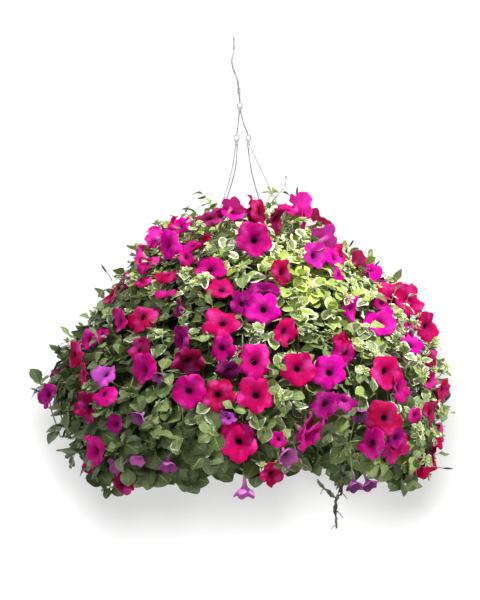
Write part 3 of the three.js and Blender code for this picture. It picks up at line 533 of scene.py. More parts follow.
def lump_at(place):
    """How far the foliage stands out past the even mound, in millimetres."""
    return sum(
        height * math.exp(-((place[0] - across) ** 2 + (place[2] - level) ** 2) / (2 * LUMP_SIZE**2))
        for across, level, height in LUMPS
    )


def light_share(place):
    """0 low at the left to 1 high at the right, toward the key light. Leaves there are painted brighter and
    more yellow-green, and their cream margins widen: painted light.
    """
    height = (place[2] - MOUND_WIDEST) / (MOUND_TOP - MOUND_WIDEST)
    return min(max(0.31 + 0.31 * place[0] / MOUND_RADIUS + 0.56 * height, 0), 1)


class Shape:
    """The faces of one small shape, and where each of its points lies on it and on its map."""

    def __init__(self, points, corners, sizes, chart):
        self.points, self.chart = points, np.array(chart)
        self.corners, self.sizes = np.array(corners), np.array(sizes)


def shape_of(piece, chart):
    """Takes a modelled piece out of the scene as a shape, to be laid many times."""
    points = np.array([vertex.co for vertex in piece.data.vertices])
    corners = [loop.vertex_index for loop in piece.data.loops]
    sizes = [len(face.vertices) for face in piece.data.polygons]
    bpy.data.objects.remove(piece)
    return Shape(points, corners, sizes, chart(points))


def stem_shape(stations, sides):
    """The faces of a round stem, with its two ends closed."""
    corners = []
    for low in range(0, (stations - 1) * sides, sides):
        for side in range(sides):
            after = (side + 1) % sides
            corners += [low + side, low + after, low + sides + after, low + sides + side]
    last = (stations - 1) * sides
    corners += [*range(sides - 1, -1, -1), *range(last, last + sides)]
    sizes = [4] * last + [sides] * 2
    chart = [(side / sides, at / (stations - 1)) for at in range(stations) for side in range(sides)]
    return Shape(None, corners, sizes, chart)


def stem_points(line, radii, sides):
    """Rings of points round a line."""
    way = unit(np.gradient(line, axis=0))
    helper = (1.0, 0, 0) if abs(way[0, 2]) > 0.9 else UP
    start = unit(np.cross(way, helper))
    other = np.cross(way, start)
    turn = np.arange(sides) * 2 * np.pi / sides
    ring = start[:, None] * np.cos(turn)[:, None] + other[:, None] * np.sin(turn)[:, None]
    return (line[:, None] + ring * radii[:, None, None]).reshape(-1, 3)


class Gathering:
    """Many small shapes that grow into one mesh. A petal's tone is its colour; that of leaves and stems is
    brightness as painted light and shade, variegation and youth, the last two partly painted light as well."""

    def __init__(self):
        self.rows = [[] for _ in range(6)]
        self.count = 0

    def add(self, points, shape, finish, tone):
        """Adds copies of a shape. Points: copies, points of each and xyz. Tone: one for each copy."""
        copies, verts = points.shape[:2]
        starts = self.count + np.arange(copies)[:, None] * verts
        finish = np.broadcast_to(finish, len(shape.sizes))
        added = (
            points.reshape(-1, 3), (starts + shape.corners).ravel(), np.tile(shape.sizes, copies),
            np.tile(shape.chart[shape.corners], (copies, 1)), np.tile(finish, copies),
            np.repeat(tone, verts, axis=0),
        )
        for rows, new in zip(self.rows, added):
            rows.append(new)
        self.count += copies * verts

    def add_stem(self, line, radii, sides, finish, painted_light_and_tone):
        shape = stem_shape(len(line), sides)
        self.add(stem_points(line, radii, sides)[None], shape, finish, [(painted_light_and_tone, 0, 0)])

    def grow(self, name, finishes):
        def fill(rows, key, values, kind=np.float32):
            rows.foreach_set(key, values.astype(kind).ravel())

        points, corners, sizes, chart, finish, tone = map(np.concatenate, self.rows)
        mesh = bpy.data.meshes.new(name)
        mesh.vertices.add(len(points))
        fill(mesh.vertices, "co", placed(points))
        mesh.loops.add(len(corners))
        fill(mesh.loops, "vertex_index", corners, np.int32)
        mesh.polygons.add(len(sizes))
        fill(mesh.polygons, "loop_start", np.cumsum(sizes) - sizes, np.int32)
        mesh.update(calc_edges=True)
        for material in finishes:
            mesh.materials.append(material)
        fill(mesh.polygons, "material_index", finish, np.int32)
        fill(mesh.polygons, "use_smooth", np.ones(len(sizes)), bool)
        fill(mesh.uv_layers.new(name="map").data, "uv", chart)
        colours = mesh.color_attributes.new("tone", "FLOAT_COLOR", "POINT")
        fill(colours.data, "color", np.c_[tone, np.ones(len(points))])
        mesh.validate()
        return in_scene(name, mesh)


# Blooms. Each is one thin soft funnel of five broad petals grown together, near black in the throat, on
# a narrow tube in a small green calyx, held out by a thin stalk. Faded ones hang shrunken and lilac.
# Rows: millimetres across the front, level, width, turn to the right, lift and colour.
FRONT_BLOOMS = (
    (-48, -266, 50, -20, 60, "C"), (-3, -258, 44, 10, 60, "B"), (31, -262, 48, 65, 10, "R"),
    (22, -303, 56, 8, 5, "M"), (99, -262, 50, 75, 15, "B"), (73, -255, 32, 30, 60, "K"),
    (-94, -284, 42, -50, 40, "B"), (-111, -308, 50, -55, 10, "B"), (-72, -309, 30, -30, 60, "M"),
    (-78, -328, 30, 40, 20, "M"), (-142, -336, 40, -50, 40, "M"), (-172, -364, 28, -60, 20, "V"),
    (-146, -364, 28, -20, 60, "P"), (-110, -352, 36, -10, 70, "R"), (-45, -344, 50, -5, 45, "M"),
    (-28, -372, 50, 5, 50, "P"), (-111, -382, 32, -20, 70, "M"), (-195, -384, 36, -70, 25, "R"),
    (-93, -404, 30, -75, 10, "V"), (-27, -423, 58, 0, 42, "P"), (36, -374, 50, 10, 65, "V"),
    (36, -404, 54, 5, 5, "B"), (66, -352, 44, 50, 5, "R"), (114, -326, 46, 40, 10, "L"),
    (144, -328, 38, 50, 30, "B"), (150, -356, 28, 60, 0, "B"), (195, -344, 42, 30, 60, "B"),
    (242, -393, 58, 20, 35, "P"), (213, -396, 30, 20, 30, "M"), (284, -420, 44, 65, 10, "B"),
    (170, -406, 42, 50, 0, "B"), (207, -422, 56, 0, 45, "B"), (-150, -416, 50, -35, 30, "R"),
    (-183, -424, 38, -60, 0, "M"), (152, -452, 30, 20, 30, "R"), (258, -458, 44, 40, 40, "B"),
    (296, -486, 40, 65, 0, "R"), (222, -501, 56, 40, 0, "P"), (306, -528, 40, 65, -5, "R"),
    (284, -514, 28, 30, 0, "M"), (132, -502, 54, -10, 5, "B"), (156, -540, 40, 30, 50, "V"),
    (70, -441, 46, 45, 0, "P"), (-30, -465, 44, -20, 5, "M"), (22, -486, 56, 5, 5, "K"),
    (-211, -442, 30, -40, 50, "M"), (-231, -453, 38, -50, 20, "M"), (-249, -471, 42, -55, 0, "R"),
    (-93, -453, 48, -60, 0, "V"), (-76, -490, 52, 15, -35, "C"), (-78, -528, 54, -10, 0, "M"),
    (-33, -536, 52, 5, 0, "R"), (-18, -502, 40, 0, -40, "D"), (24, -537, 58, 0, 0, "P"),
    (87, -495, 54, 10, 10, "P"), (-144, -495, 54, -60, 0, "M"), (-152, -471, 40, -30, 40, "C"),
    (-204, -504, 40, -30, 45, "A"), (-207, -530, 38, -40, 40, "M"), (-291, -534, 40, -50, 20, "V"),
    (-230, -552, 48, -40, 0, "C"), (-188, -579, 34, -50, 0, "V"), (-220, -620, 50, -55, -5, "M"),
    (-180, -669, 40, -40, -10, "C"), (-18, -567, 28, 0, 40, "A"), (-2, -606, 62, 0, 0, "P"),
    (52, -652, 42, 30, -20, "R"), (60, -603, 28, 20, 0, "M"), (110, -580, 60, 70, -10, "M"),
    (120, -556, 48, -30, 30, "V"), (219, -570, 56, 20, 10, "R"), (195, -606, 50, -40, 0, "M"),
    (236, -600, 36, 40, 0, "V"), (264, -566, 26, 30, 0, "M"), (288, -564, 42, 60, 0, "R"),
    (303, -596, 42, 60, 0, "R"), (286, -639, 46, 35, 0, "R"),
)
FADED_BLOOMS = (
    (-152, -570, 30, -40, -30, "G"), (-186, -642, 34, -60, -20, "G"), (-153, -632, 30, -20, -50, "F"),
    (-108, -642, 34, 0, -60, "G"), (7, -682, 40, 0, -75, "F"), (69, -630, 42, 30, -30, "F"),
    (180, -566, 30, 20, -40, "G"), (172, -672, 32, 20, -60, "G"), (194, -670, 30, 40, -50, "G"),
    (-128, -506, 24, -20, -30, "G"),
)
PROUD_BLOOMS = (
    (90, -258, 52, 130, 20, "B"), (24, -250, 50, 84, 5, "R"), (-10, -256, 40, 150, 30, "M"),
    (-104, -284, 38, -110, 25, "M"), (-128, -300, 40, -130, 20, "B"), (-150, -328, 40, -105, 15, "M"),
    (58, -268, 44, 60, -10, "C"), (132, -302, 46, 125, 15, "L"), (160, -318, 42, 70, 20, "P"),
    (178, -338, 40, 110, 20, "R"), (-60, -300, 36, -70, 40, "R"), (222, -372, 44, 60, 35, "P"),
    (258, -404, 42, 80, 20, "P"), (6, -392, 44, 30, 20, "V"), (114, -600, 58, 55, -50, "M"),
    (248, -520, 46, 60, 10, "M"), (166, -470, 44, 40, -10, "M"), (262, -388, 52, 30, 20, "P"),
    (290, -428, 48, 45, 0, "P"), (276, -470, 44, 70, 0, "B"), (-244, -500, 40, -70, 10, "R"),
    (240, -620, 50, 20, -20, "P"),
)
# D, the dark violet of one bloom deep in the foliage, paints the shade that falls on it.
BLOOM_COLOURS = {
    "C": (116, 0, 48), "R": (160, 0, 58), "P": (186, 0, 86), "M": (180, 0, 112), "B": (214, 0, 156),
    "V": (136, 0, 98), "L": (196, 30, 160), "K": (204, 8, 124), "A": (162, 66, 166), "D": (84, 0, 60),
    "F": (178, 100, 168), "G": (120, 64, 118),
}
PROUD_DEPTH, SUNK_DEPTH, BLOOM_SCALE = 9.0, 4.0, 0.96
BACK_BLOOMS, BACK_HIGHEST, BACK_LOWEST = 39, -262, -655
BACK_COLOURS, BACK_WIDTH, BACK_WIDER = "PMRVPBCMRL", 40, 18
GOLDEN_SHARE = 0.618034
CROWN_BLOOM_LEVEL = -300
BLOOM_ROOM, SPREAD_ROUNDS, BACK_FROM = 0.43, 40, 30
# Radius and level of each ring of a bloom one unit wide, from the foot of its tube to its rim
PETAL_RINGS = (
    (0.012, -0.455), (0.045, -0.38), (0.06, -0.27), (0.08, -0.19), (0.112, -0.13), (0.19, -0.08),
    (0.29, -0.055), (0.38, -0.04), (0.46, -0.042), (0.5, -0.055),
)
PETAL_SIDES, PETAL_THICKNESS, LOBES = 40, 0.012, 5
TUBE_LENGTH, TUBE_BEND, FADED_TUBE, LOBE_LEAN = 0.45, 0.16, 1.7, math.radians(18)
CALYX_RINGS = ((0.09, 0), (0.225, 0.18), (0.2925, 0.4))
CALYX_SIZE, SEPAL_SPREAD, SEPAL_NOTCH, CALYX_SUNK = 0.2, 1.55, 0.34, 2.0
TRAILS, ROOT_LEVEL = 20, -393
BLOOM_STEM_DEPTH, BLOOM_STEM_WIRE, BLOOM_STEM_TIP, PEDICEL = 29, 1.7, 1.0, 0.75
BLOOM_STEM_ASIDE, BLOOM_STEM_FOOT = 4, ROOT_LEVEL - 8
BLOOM_STEM_RISE = ((100, BLOOM_STEM_FOOT), (101, -362), (122, -338))
BLOOM_STEM_LEVELS = (-322, -360, -410, -470, -540, -610)
CROWN_STEM_ANGLE = 14
CROWN_STEM_RISE = ((86, BLOOM_STEM_FOOT), (87, -362), (91, -320), (84, -292), (66, -272), (52, -262))


def draw(item, kind):
    """An even number from 0 to 1 that is always the same for the same item."""
    value = math.sin(item * 12.9898 + kind * 78.233) * 43758.5453
    return value - math.floor(value)


class Bloom:
    """The middle of a bloom's rim, its width, which way it faces, its colour, and its root on a stem."""

    def __init__(self, centre, width, face, colour, wilted=False):
        self.centre, self.width, self.face, self.root = centre, width, face, None
        self.colour, self.wilted = linear(*BLOOM_COLOURS[colour]), wilted


def facing(turn, lift):
    """The way a bloom faces, by degrees to the right of the front and upward."""
    a, b = math.radians(turn), math.radians(lift)
    return np.array((math.sin(a) * math.cos(b), -math.cos(a) * math.cos(b), math.sin(b)))


def seen_on_mound(across, level):
    """The place on the mound of something seen this far across and at this level."""
    x, y, z = across, -200.0, level
    for _ in range(6):
        shrink = 1 + y / EYE_DISTANCE
        x, z = across * shrink, EYE_HEIGHT + (level - EYE_HEIGHT) * shrink
        radius = mound_radius(z)
        y = -math.sqrt(max(radius**2 - x**2, (0.12 * radius) ** 2))
    return np.array((x, y, z))


def front_blooms():
    rows = [(*row, False) for row in FRONT_BLOOMS] + [(*row, True) for row in FADED_BLOOMS]
    for across, level, width, turn, lift, colour, wilted in rows:
        yield Bloom(seen_on_mound(across, level), width, facing(turn, lift), colour, wilted)


def proud_blooms():
    """Blooms that stand before, above or behind the others, many of them seen from behind."""
    for across, level, width, turn, lift, colour in PROUD_BLOOMS:
        centre = seen_on_mound(across, level)
        outward = SUNK_DEPTH if abs(turn) > 90 else -PROUD_DEPTH
        centre = centre + mound_out(turn_of(centre), centre[2]) * outward
        yield Bloom(centre, width, facing(turn, lift), colour)


def back_blooms():
    """Blooms of the back, spread evenly down and round it."""
    for i in range(BACK_BLOOMS):
        turn = math.pi * (0.97 * (i * GOLDEN_SHARE % 1) + 0.015)
        level = BACK_HIGHEST + (BACK_LOWEST - BACK_HIGHEST) * ((i + 0.5) / BACK_BLOOMS) ** 0.85
        along = np.array((-math.sin(turn), math.cos(turn), 0))
        face = mound_out(turn, level) + along * 0.9 * (draw(i, 21) - 0.5) + UP * 0.8 * (draw(i, 22) - 0.4)
        wilted = i % 9 == 8 and level < CROWN_BLOOM_LEVEL - 200 and abs(math.cos(turn)) < 0.8
        colour = "F" if wilted else BACK_COLOURS[i % 10]
        width = BACK_WIDTH + BACK_WIDER * draw(i, 23)
        yield Bloom(mound_point(turn, level, 0), width, unit(face), colour, wilted)


def spread(blooms):
    """Moves blooms apart along the mound until their rims stand clear of each other."""
    for _ in range(SPREAD_ROUNDS):
        for i, one in enumerate(blooms):
            for other in blooms[:i]:
                apart = one.centre - other.centre
                length = np.linalg.norm(apart)
                short = (one.width + other.width) * BLOOM_ROOM - length
                if short > 0:
                    apart = apart * (short * 0.5 / length)
                    one.centre = one.centre + apart
                    other.centre = other.centre - apart
        for bloom in blooms:
            x, y, z = bloom.centre
            reach = mound_radius(z) + (lump_at(bloom.centre) if y > BACK_FROM else 0)
            pull = 1 + 0.5 * (reach / math.hypot(x, y) - 1)
            bloom.centre = np.array((x * pull, y * pull, z))
    return blooms


def funnel():
    """The petals of a bloom one unit wide that faces up."""
    flower = raised(PETAL_RINGS, PETAL_SIDES)
    bpy.ops.mesh.normals_make_consistent(inside=False)
    done_editing()
    if flower.data.polygons[-1].normal.z < 0:
        flower.data.flip_normals()
    thick = flower.modifiers.new("thickness", "SOLIDIFY")
    thick.thickness, thick.offset = PETAL_THICKNESS, -1
    bpy.ops.object.modifier_apply(modifier=thick.name)
    return flower


def petal_chart(points):
    """Lays the funnel out flat: half a unit from the middle of the map is the rim."""
    steps = [ring[0] for ring in PETAL_RINGS]
    share = np.interp(np.hypot(points[:, 0], points[:, 1]), steps, np.linspace(0.12, 1, len(steps)))
    turn = np.arctan2(points[:, 1], points[:, 0])
    return np.c_[0.5 + 0.5 * share * np.cos(turn), 0.5 + 0.5 * share * np.sin(turn)]


def frame_of(way):
    """Two ways that stand square to this one and to each other."""
    start = unit(np.cross(way, (1.0, 0, 0) if abs(way[2]) > 0.95 else UP))
    return start, np.cross(way, start)


def spoke(start, other, turn):
    return start * math.cos(turn) + other * math.sin(turn)


def stood(shape, way):
    """A small shape's points, stood up along a way."""
    start, other = frame_of(way)
    return start * shape.points[:, :1] + other * shape.points[:, 1:2] + way * shape.points[:, 2:]


def petals_of(bloom, seed):
    """Points of one bloom, the foot of its tube and the way the tube points there. It has five notched
    lobes, a wavy rim that rolls up or back, and a tube that bends toward its stalk."""
    width, face, long = bloom.width * BLOOM_SCALE, bloom.face, FADED_TUBE if bloom.wilted else 1
    x, y, level = FUNNEL.points.T
    turn = np.arctan2(y, x)
    share = np.clip((np.hypot(x, y) - 0.12) / 0.38, 0, 1)
    wave = [draw(seed, kind) for kind in range(30, 40)]

    def ripple(count, kind):
        return np.sin(count * turn + 6 * wave[kind])

    lobe = np.cos(LOBES * turn)
    off_notch = math.pi / LOBES - np.arccos(np.clip(lobe, -1, 1)) / LOBES
    pentagon = math.cos(math.pi / LOBES) / np.cos(off_notch)
    notch = np.exp(-((off_notch / 0.12) ** 2))
    reach = 1 + share**1.5 * (0.62 * (pentagon - 1) + 0.07 - (0.08 + 0.13 * wave[0]) * notch)
    reach *= 1 + 0.07 * share * ripple(1, 1) + 0.05 * share * ripple(2, 2)
    z = level + share**2 * (0.02 + 0.03 * wave[3]) * lobe + 0.03 * share * notch
    z += share**2 * (0.03 + 0.05 * wave[0]) * ripple(3, 4)
    z += share**2 * 0.034 * ripple(8, 5) + share**3 * 0.022 * ripple(13, 6)
    z += share**2 * (0.02 + 0.09 * wave[2]) * np.cos(2 * turn + 6 * wave[1])
    z += (0.05 - 0.17 * wave[7]) * share**2.5
    if bloom.wilted:
        reach = min(1.05, 40 / width) * (1 + 0.08 * lobe * share) - 0.24 * share**3
        z = level * 1.5 + share * 0.05 * ripple(5, 9) + 0.22 * share**2
    elif wave[8] > 0.6:
        z -= 0.22 * share**2 * np.clip(np.cos(turn - 6 * wave[9]), 0, 1) ** 2
    right = spoke(*frame_of(face), LOBE_LEAN)
    over = np.cross(face, right)
    points = right * (x * reach)[:, None] + over * (y * reach)[:, None] + face * z[:, None]
    pull = np.clip((-z - 0.15 * long) / (0.3 * long), 0, 1) ** 2
    aside = (bloom.root - bloom.centre) / width + face * TUBE_LENGTH * long
    aside -= face * (aside @ face)
    aside *= TUBE_BEND / max(np.linalg.norm(aside), TUBE_BEND)
    points += aside * pull[:, None]
    foot = bloom.centre + (aside - face * TUBE_LENGTH * long) * width
    return bloom.centre + points * width, foot, unit(face * 0.165 * long - aside * 0.78)


def sepals():
    """A calyx one unit long that opens upward: five narrow sepals on a short cup."""
    cup = raised(CALYX_RINGS, 2 * LOBES)
    done_editing()
    rim = [v for v in cup.data.vertices if v.co.z > CALYX_RINGS[-1][1] - 0.01]
    for i, vertex in enumerate(sorted(rim, key=lambda v: math.atan2(v.co.y, v.co.x))):
        if i % 2:
            vertex.co = Vector((vertex.co.x * SEPAL_SPREAD, vertex.co.y * SEPAL_SPREAD, 1))
        else:
            vertex.co.z = SEPAL_NOTCH
    return cup


def flowering_lines():
    """The stems that carry the blooms: one in each gap between the leafy trails, four in the crown."""
    lines = {}
    for index in range(TRAILS):
        middle = index * 2 * math.pi / TRAILS
        turn = middle + BLOOM_STEM_ASIDE / 100
        line = on_axis_plane(turn, BLOOM_STEM_RISE)
        for level in BLOOM_STEM_LEVELS:
            aside = BLOOM_STEM_ASIDE / mound_radius(level)
            line.append(mound_point(middle + aside, level, BLOOM_STEM_DEPTH))
        lines[f"flowering_trail_{index + 1}"] = (turn, np.array(line))
    for index, strand in enumerate(("front_right", "back_right", "back_left", "front_left")):
        turn = math.radians(STRANDS[strand][2] + CROWN_STEM_ANGLE)
        lines[f"flowering_crown_{index + 1}"] = (turn, np.array(on_axis_plane(turn, CROWN_STEM_RISE)))
    return lines


def turn_between(a, b):
    return abs((a - b + math.pi) % (2 * math.pi) - math.pi)


def share_out(blooms, lines):
    """Gives each bloom to the stem that stands nearest round the mound, and finds its root on it."""
    owned = {name: [] for name in lines}
    for bloom in blooms:
        turn = turn_of(bloom.centre)
        part = "crown" if bloom.centre[2] > CROWN_BLOOM_LEVEL else "trail"
        near = min((n for n in lines if part in n), key=lambda n: turn_between(lines[n][0], turn))
        line = lines[near][1]
        roots = [a + (b - a) * t for a, b in zip(line[1:], line[2:]) for t in (0.25, 0.5, 0.75, 1)]
        behind = bloom.centre - 0.7 * bloom.width * bloom.face
        bloom.root = min(roots, key=lambda root: np.linalg.norm(root - behind))
        owned[near].append(bloom)
    return owned


def petal_finish(name, back):
    """Velvet petal: near black in the throat, veins that spread to the rim, and a crease in each lobe. The
    face has painted highlights; the back is brightened as painted light shining through it.
    """
    petal = Finish(name)
    colour = petal.tone()
    middle = petal.put("ShaderNodeVectorMath", {0: petal.chart(), 1: (0.5, 0.5, 0)}, operation="SUBTRACT")[0]
    x, y, _ = petal.put("ShaderNodeSeparateXYZ", {0: middle})
    turn = petal.calc("ARCTAN2", y, x)
    length = petal.put("ShaderNodeVectorMath", {0: middle}, operation="LENGTH")["Value"]
    share = petal.times(length, 2.0)
    branching = petal.times(petal.plus(petal.grain(160, 2), -0.5), 3.2)
    rays = petal.calc("SINE", petal.plus(petal.times(turn, 35.0), branching))
    crease = petal.ramp(petal.calc("COSINE", petal.times(turn, 5.0)), 0.93, 1.0)
    vein = petal.calc("MAXIMUM", petal.times(petal.ramp(rays, 0.55, 1.0), 0.55), crease)
    vein = petal.times(vein, petal.ramp(share, 1.0, 0.35, 0.3, 1.0))
    if back:
        # The back is paler than the face; its colour is also brightened half again, as painted light shining
        # through the petal.
        pale = petal.mix(0.2, petal.brighter(colour, 1.5), (236, 120, 214))
        veined = petal.mix(petal.times(vein, 0.5), pale, (120, 0, 92))
        base = petal.mix(petal.ramp(share, 0.5, 0.2), veined, (176, 150, 150))
    else:
        cloud, fine = petal.grain(55, 3), petal.grain(420, 2)
        deep = petal.mix(0.7, colour, (60, 0, 36))
        # Painted highlights: clouds of pale pink laid over the face.
        painted_highlight = petal.mix(petal.ramp(cloud, 0.44, 0.76, 0.0, 0.42), colour, (255, 84, 200))
        veined = petal.mix(petal.times(vein, 0.42), painted_highlight, deep)
        ragged = petal.plus(share, petal.times(petal.plus(fine, -0.5), 0.16))
        ringed = petal.mix(petal.ramp(ragged, 0.8, 0.45, 0.0, 0.62), veined, deep)
        base = petal.mix(petal.ramp(ragged, 0.5, 0.32), ringed, (44, 0, 36))
        petal.relief(petal.plus(petal.times(vein, -0.6), petal.times(cloud, 0.6)), 0.5, 0.0012)
    return petal.give(base_color=base, roughness=0.8, specular_ior_level=0.08)


def stalk_finish():
    """Soft green, duller and browner where the stem's tone is low. That tone is painted shade on the inner
    stems and painted light on the shoots toward the light; elsewhere it is the stem's own tone.
    """
    stalk = Finish("green_stalk")
    painted_light_and_tone = stalk.put("ShaderNodeSeparateColor", {0: stalk.tone()})[0]
    cloud = stalk.grain(140, 2)
    dull = stalk.mottled(cloud, (72, 84, 50), (112, 104, 70))
    pale = stalk.mottled(cloud, (122, 142, 74), (172, 182, 118))
    stalk.relief(stalk.grain(900, 2), 0.3, 0.0004)
    return stalk.give(base_color=stalk.mix(painted_light_and_tone, dull, pale), roughness=0.6)


blooms = [*spread([*front_blooms(), *back_blooms()]), *proud_blooms()]
bloom_centres = np.array([bloom.centre for bloom in blooms])
bloom_faces = np.array([bloom.face for bloom in blooms])
bloom_widths = np.array([bloom.width for bloom in blooms])
bloom_lines = flowering_lines()
owned_blooms = share_out(blooms, bloom_lines)
FUNNEL = shape_of(funnel(), petal_chart)
FUNNEL_FINISH = np.where(np.arange(len(FUNNEL.sizes)) <= len(PETAL_RINGS[1:]) * PETAL_SIDES, 0, 1)
CALYX = shape_of(sepals(), lambda points: points[:, :2] + 0.5)
flower_finishes = [petal_finish("petal_face", False), petal_finish("petal_back", True), stalk_finish()]


def flowering_piece(name, seed):
    """One flowering stem with its blooms. The last of its finishes is the stalk's."""
    plant = Gathering()
    line = smooth_line(bloom_lines[name][1], 5)
    plant.add_stem(line, np.linspace(BLOOM_STEM_WIRE, BLOOM_STEM_TIP, len(line)), 6, 2, 0.4)
    for item, bloom in enumerate(owned_blooms[name]):
        petals, foot, tube = petals_of(bloom, seed * 20 + item)
        plant.add(petals[None], FUNNEL, FUNNEL_FINISH, [bloom.colour])
        cup = foot + stood(CALYX, tube) * (bloom.width * CALYX_SIZE) - tube * CALYX_SUNK
        plant.add(cup[None], CALYX, 2, [(0.7, 0, 0)])
        root = bloom.root - unit(foot - bloom.root)
        bow = (foot + bloom.root) / 2 - bloom.face * 4 + UP * 2
        stalk = smooth_line([root, bow, foot - tube * 3, foot], 5)
        plant.add_stem(stalk, np.full(len(stalk), PEDICEL), 5, 2, 0.6 + 0.4 * draw(item, 41))
    dress(plant.grow(name.replace("flowering", "blooms_on"), flower_finishes), name, "petal")


for seed, name in enumerate(bloom_lines):
    flowering_piece(name, seed)


# Leafy stems. Soft pale stems rise from the soil, lean over the rim and hang to the hem, four to a trail.
# They carry ovate leaves with cream margins, and side shoots that end in small rosettes at the surface.
# Share of the length and half width of each row of a leaf, from its foot to its tip
LEAF_STATIONS = (
    (0, 0.04), (0.1, 0.07), (0.24, 0.33), (0.42, 0.5), (0.6, 0.5), (0.78, 0.38), (0.92, 0.2), (1, 0.03)
)
LEAFLET_STATIONS = ((0, 0.14), (0.3, 0.4), (0.6, 0.5), (0.86, 0.3), (1, 0.03))
BUD_RINGS = ((0.05, 0), (0.095, 0.25), (0.1045, 0.55), (0.06479, 0.83), (0.012958, 1.0))
HEM_LEVELS = (
    -650, -640, -655, -640, -650, -645, -655, -640, -655, -635,
    -628, -640, -652, -655, -620, -645, -574, -620, -640, -655,
)
TRAIL_STEMS, TRAIL_RING, TRAIL_RISE = (-0.36, -0.12, 0.12, 0.36), (92, 106), ((3, -362), (125, -338))
TRAIL_DEPTH, TRAIL_TOP, TRAIL_BENDS, HEM_PLAY, TRAIL_SWAY = (30, 58), -318, 7, (-24, 6), 0.04
INNER_STEMS, INNER_RISE = (-0.25, 0.25), ((96, ROOT_LEVEL), (100, -362), (124, -345))
INNER_DEPTH, INNER_TOP, INNER_BENDS, INNER_GAP, INNER_LEAF = (68, 88), -345, 6, 11, (38, 50)
CLUMP_TURNS = tuple(map(math.radians, (9, 99, 189, 279)))
CROWN_STEMS, CROWN_REACH, CROWN_SUNK, CLUMP_LEVEL = 48, 155, (-50, -24), -285
GOLDEN_TURN = math.radians(137.508)
LEAF_GAP, SHOOT_EVERY, RIM_SHOOT_EVERY = 18, 2, 3
LEAF_LENGTH, SHOOT_LEAF, SHADE_GROWTH, PLAIN_SHARE = (27, 39), (28, 42), 0.7, 0.24
SHOOT_LEAVES, SHOOT_REACH = (0.35, 0.5, 0.64, 0.78, 0.92), (14, 90)
ROSETTE_SIZE, CROWN_ROSETTE, BUD_LENGTH = (9, 13.5), (11, 15), (11, 15)
# A patch of sunlight painted on the leaves as yellow-green: its middle across and level, its spread and its
# strength.
SUNLIT_PATCH_AT, SUNLIT_PATCH_SPREAD, SUNLIT_PATCH_MOST = (100, -362), 2600, 0.62
OUTLINE_DEPTH, ROOT_DROP, ROOT_DEPTH = 45, 22, 42
# Radius of each kind of stem at its foot and at its tip
TRAIL_WIRE, INNER_WIRE, CROWN_WIRE = (1.9, 0.9), (1.7, 1), (1.8, 0.9)
SHOOT_WIRE, BUD_WIRE = (1, 0.6), (0.75, 0.65)
# How far along a stem its first leaf grows
TRAIL_BARE, INNER_BARE, CROWN_BARE = 70, 60, 40
LONG_SHOOTS = (
    (-63, -252), (72, -226), (228, -352), (262, -372), (-262, -446), (-306, -514), (-274, -510),
    (-276, -578), (-258, -622), (300, -502), (294, -656), (-118, -300), (180, -322),
)
BUD_PLACES = (
    (-208, -340), (-115, -276), (-81, -274), (-273, -460), (-258, -573), (-314, -525), (-223, -663),
    (319, -646), (86, -223),
)
rng = np.random.default_rng(11)


def before_bloom(points, reach, behind):
    """Whether each point stands in a bloom, its tube or in front of it, by shares of the bloom's width."""
    apart = points[:, None] - bloom_centres
    ahead = (apart * bloom_faces).sum(-1) / bloom_widths
    beside = np.linalg.norm(apart - (ahead * bloom_widths)[..., None] * bloom_faces, axis=-1) / bloom_widths
    in_tube = (ahead > -TUBE_LENGTH) & (ahead < 0) & (beside < 0.13)
    return (in_tube | ((ahead > -behind) & (ahead < 1) & (beside < reach))).any(1)


def blade(columns, stations):
    """A flat leaf one unit long and wide that points along Y, grown row by row from its foot."""
    deselect()
    bpy.ops.mesh.primitive_grid_add(x_subdivisions=columns, y_subdivisions=1, size=1, location=(0, 0, 0))
    leaf = bpy.context.object
    for row, (share, half) in zip((-0.5, 0.5), stations):
        pick(leaf, lambda place: abs(place.y - row) < 0.01)
        bpy.ops.transform.resize(value=(2 * half, 1, 1), center_override=(0, 0, 0))
        bpy.ops.transform.translate(value=(0, share - row, 0))
    last, width = stations[1]
    for share, half in stations[2:]:
        pick(leaf, lambda place: place.y > last - 0.001)
        bpy.ops.mesh.extrude_edges_move(TRANSFORM_OT_translate={"value": (0, share - last, 0)})
        bpy.ops.transform.resize(value=(half / width, 1, 1), center_override=(0, share, 0))
        last, width = share, half
    return done_editing()


def leaf_shape(columns, stations):
    """A leaf whose map is as wide as the leaf all along it."""
    shares, halves = zip(*stations)

    def chart(points):
        return np.c_[0.5 + points[:, 0] / (2 * np.interp(points[:, 1], shares, halves)), points[:, 1]]

    return shape_of(blade(columns, stations), chart)


def bud_body():
    raised(BUD_RINGS, 8)
    return done_editing()


def laid(shape, rows):
    """Many leaves at once: each bent down along its length, folded on its midrib and waved at its rim."""
    along = rows["along"]
    long, wide, arch = rows["long"][:, None], rows["wide"][:, None], rows["arch"][:, None]
    side = unit(np.cross(along, rows["up"]))
    face = np.cross(side, along)
    x, y = shape.points[:, 0], shape.points[:, 1]
    across = x * wide
    out = long * np.sin(arch * y) / arch
    drop = long * (1 - np.cos(arch * y)) / arch
    wave = 0.07 * long * np.abs(2 * x) * np.sin(7 * y + rows["phase"][:, None] + 2 * np.sign(x))
    rise = rows["fold"][:, None] * np.abs(across) + wave - drop
    parts = ((side, across), (along, out), (face, rise))
    return rows["foot"][:, None] + sum(way[:, None] * far[..., None] for way, far in parts)


def frame_round(aim):
    """Two ways square to a shoot's aim, turned at random."""
    helper = unit(np.cross(aim, UP + rng.normal(0, 0.3, 3)))
    return helper, np.cross(aim, helper)


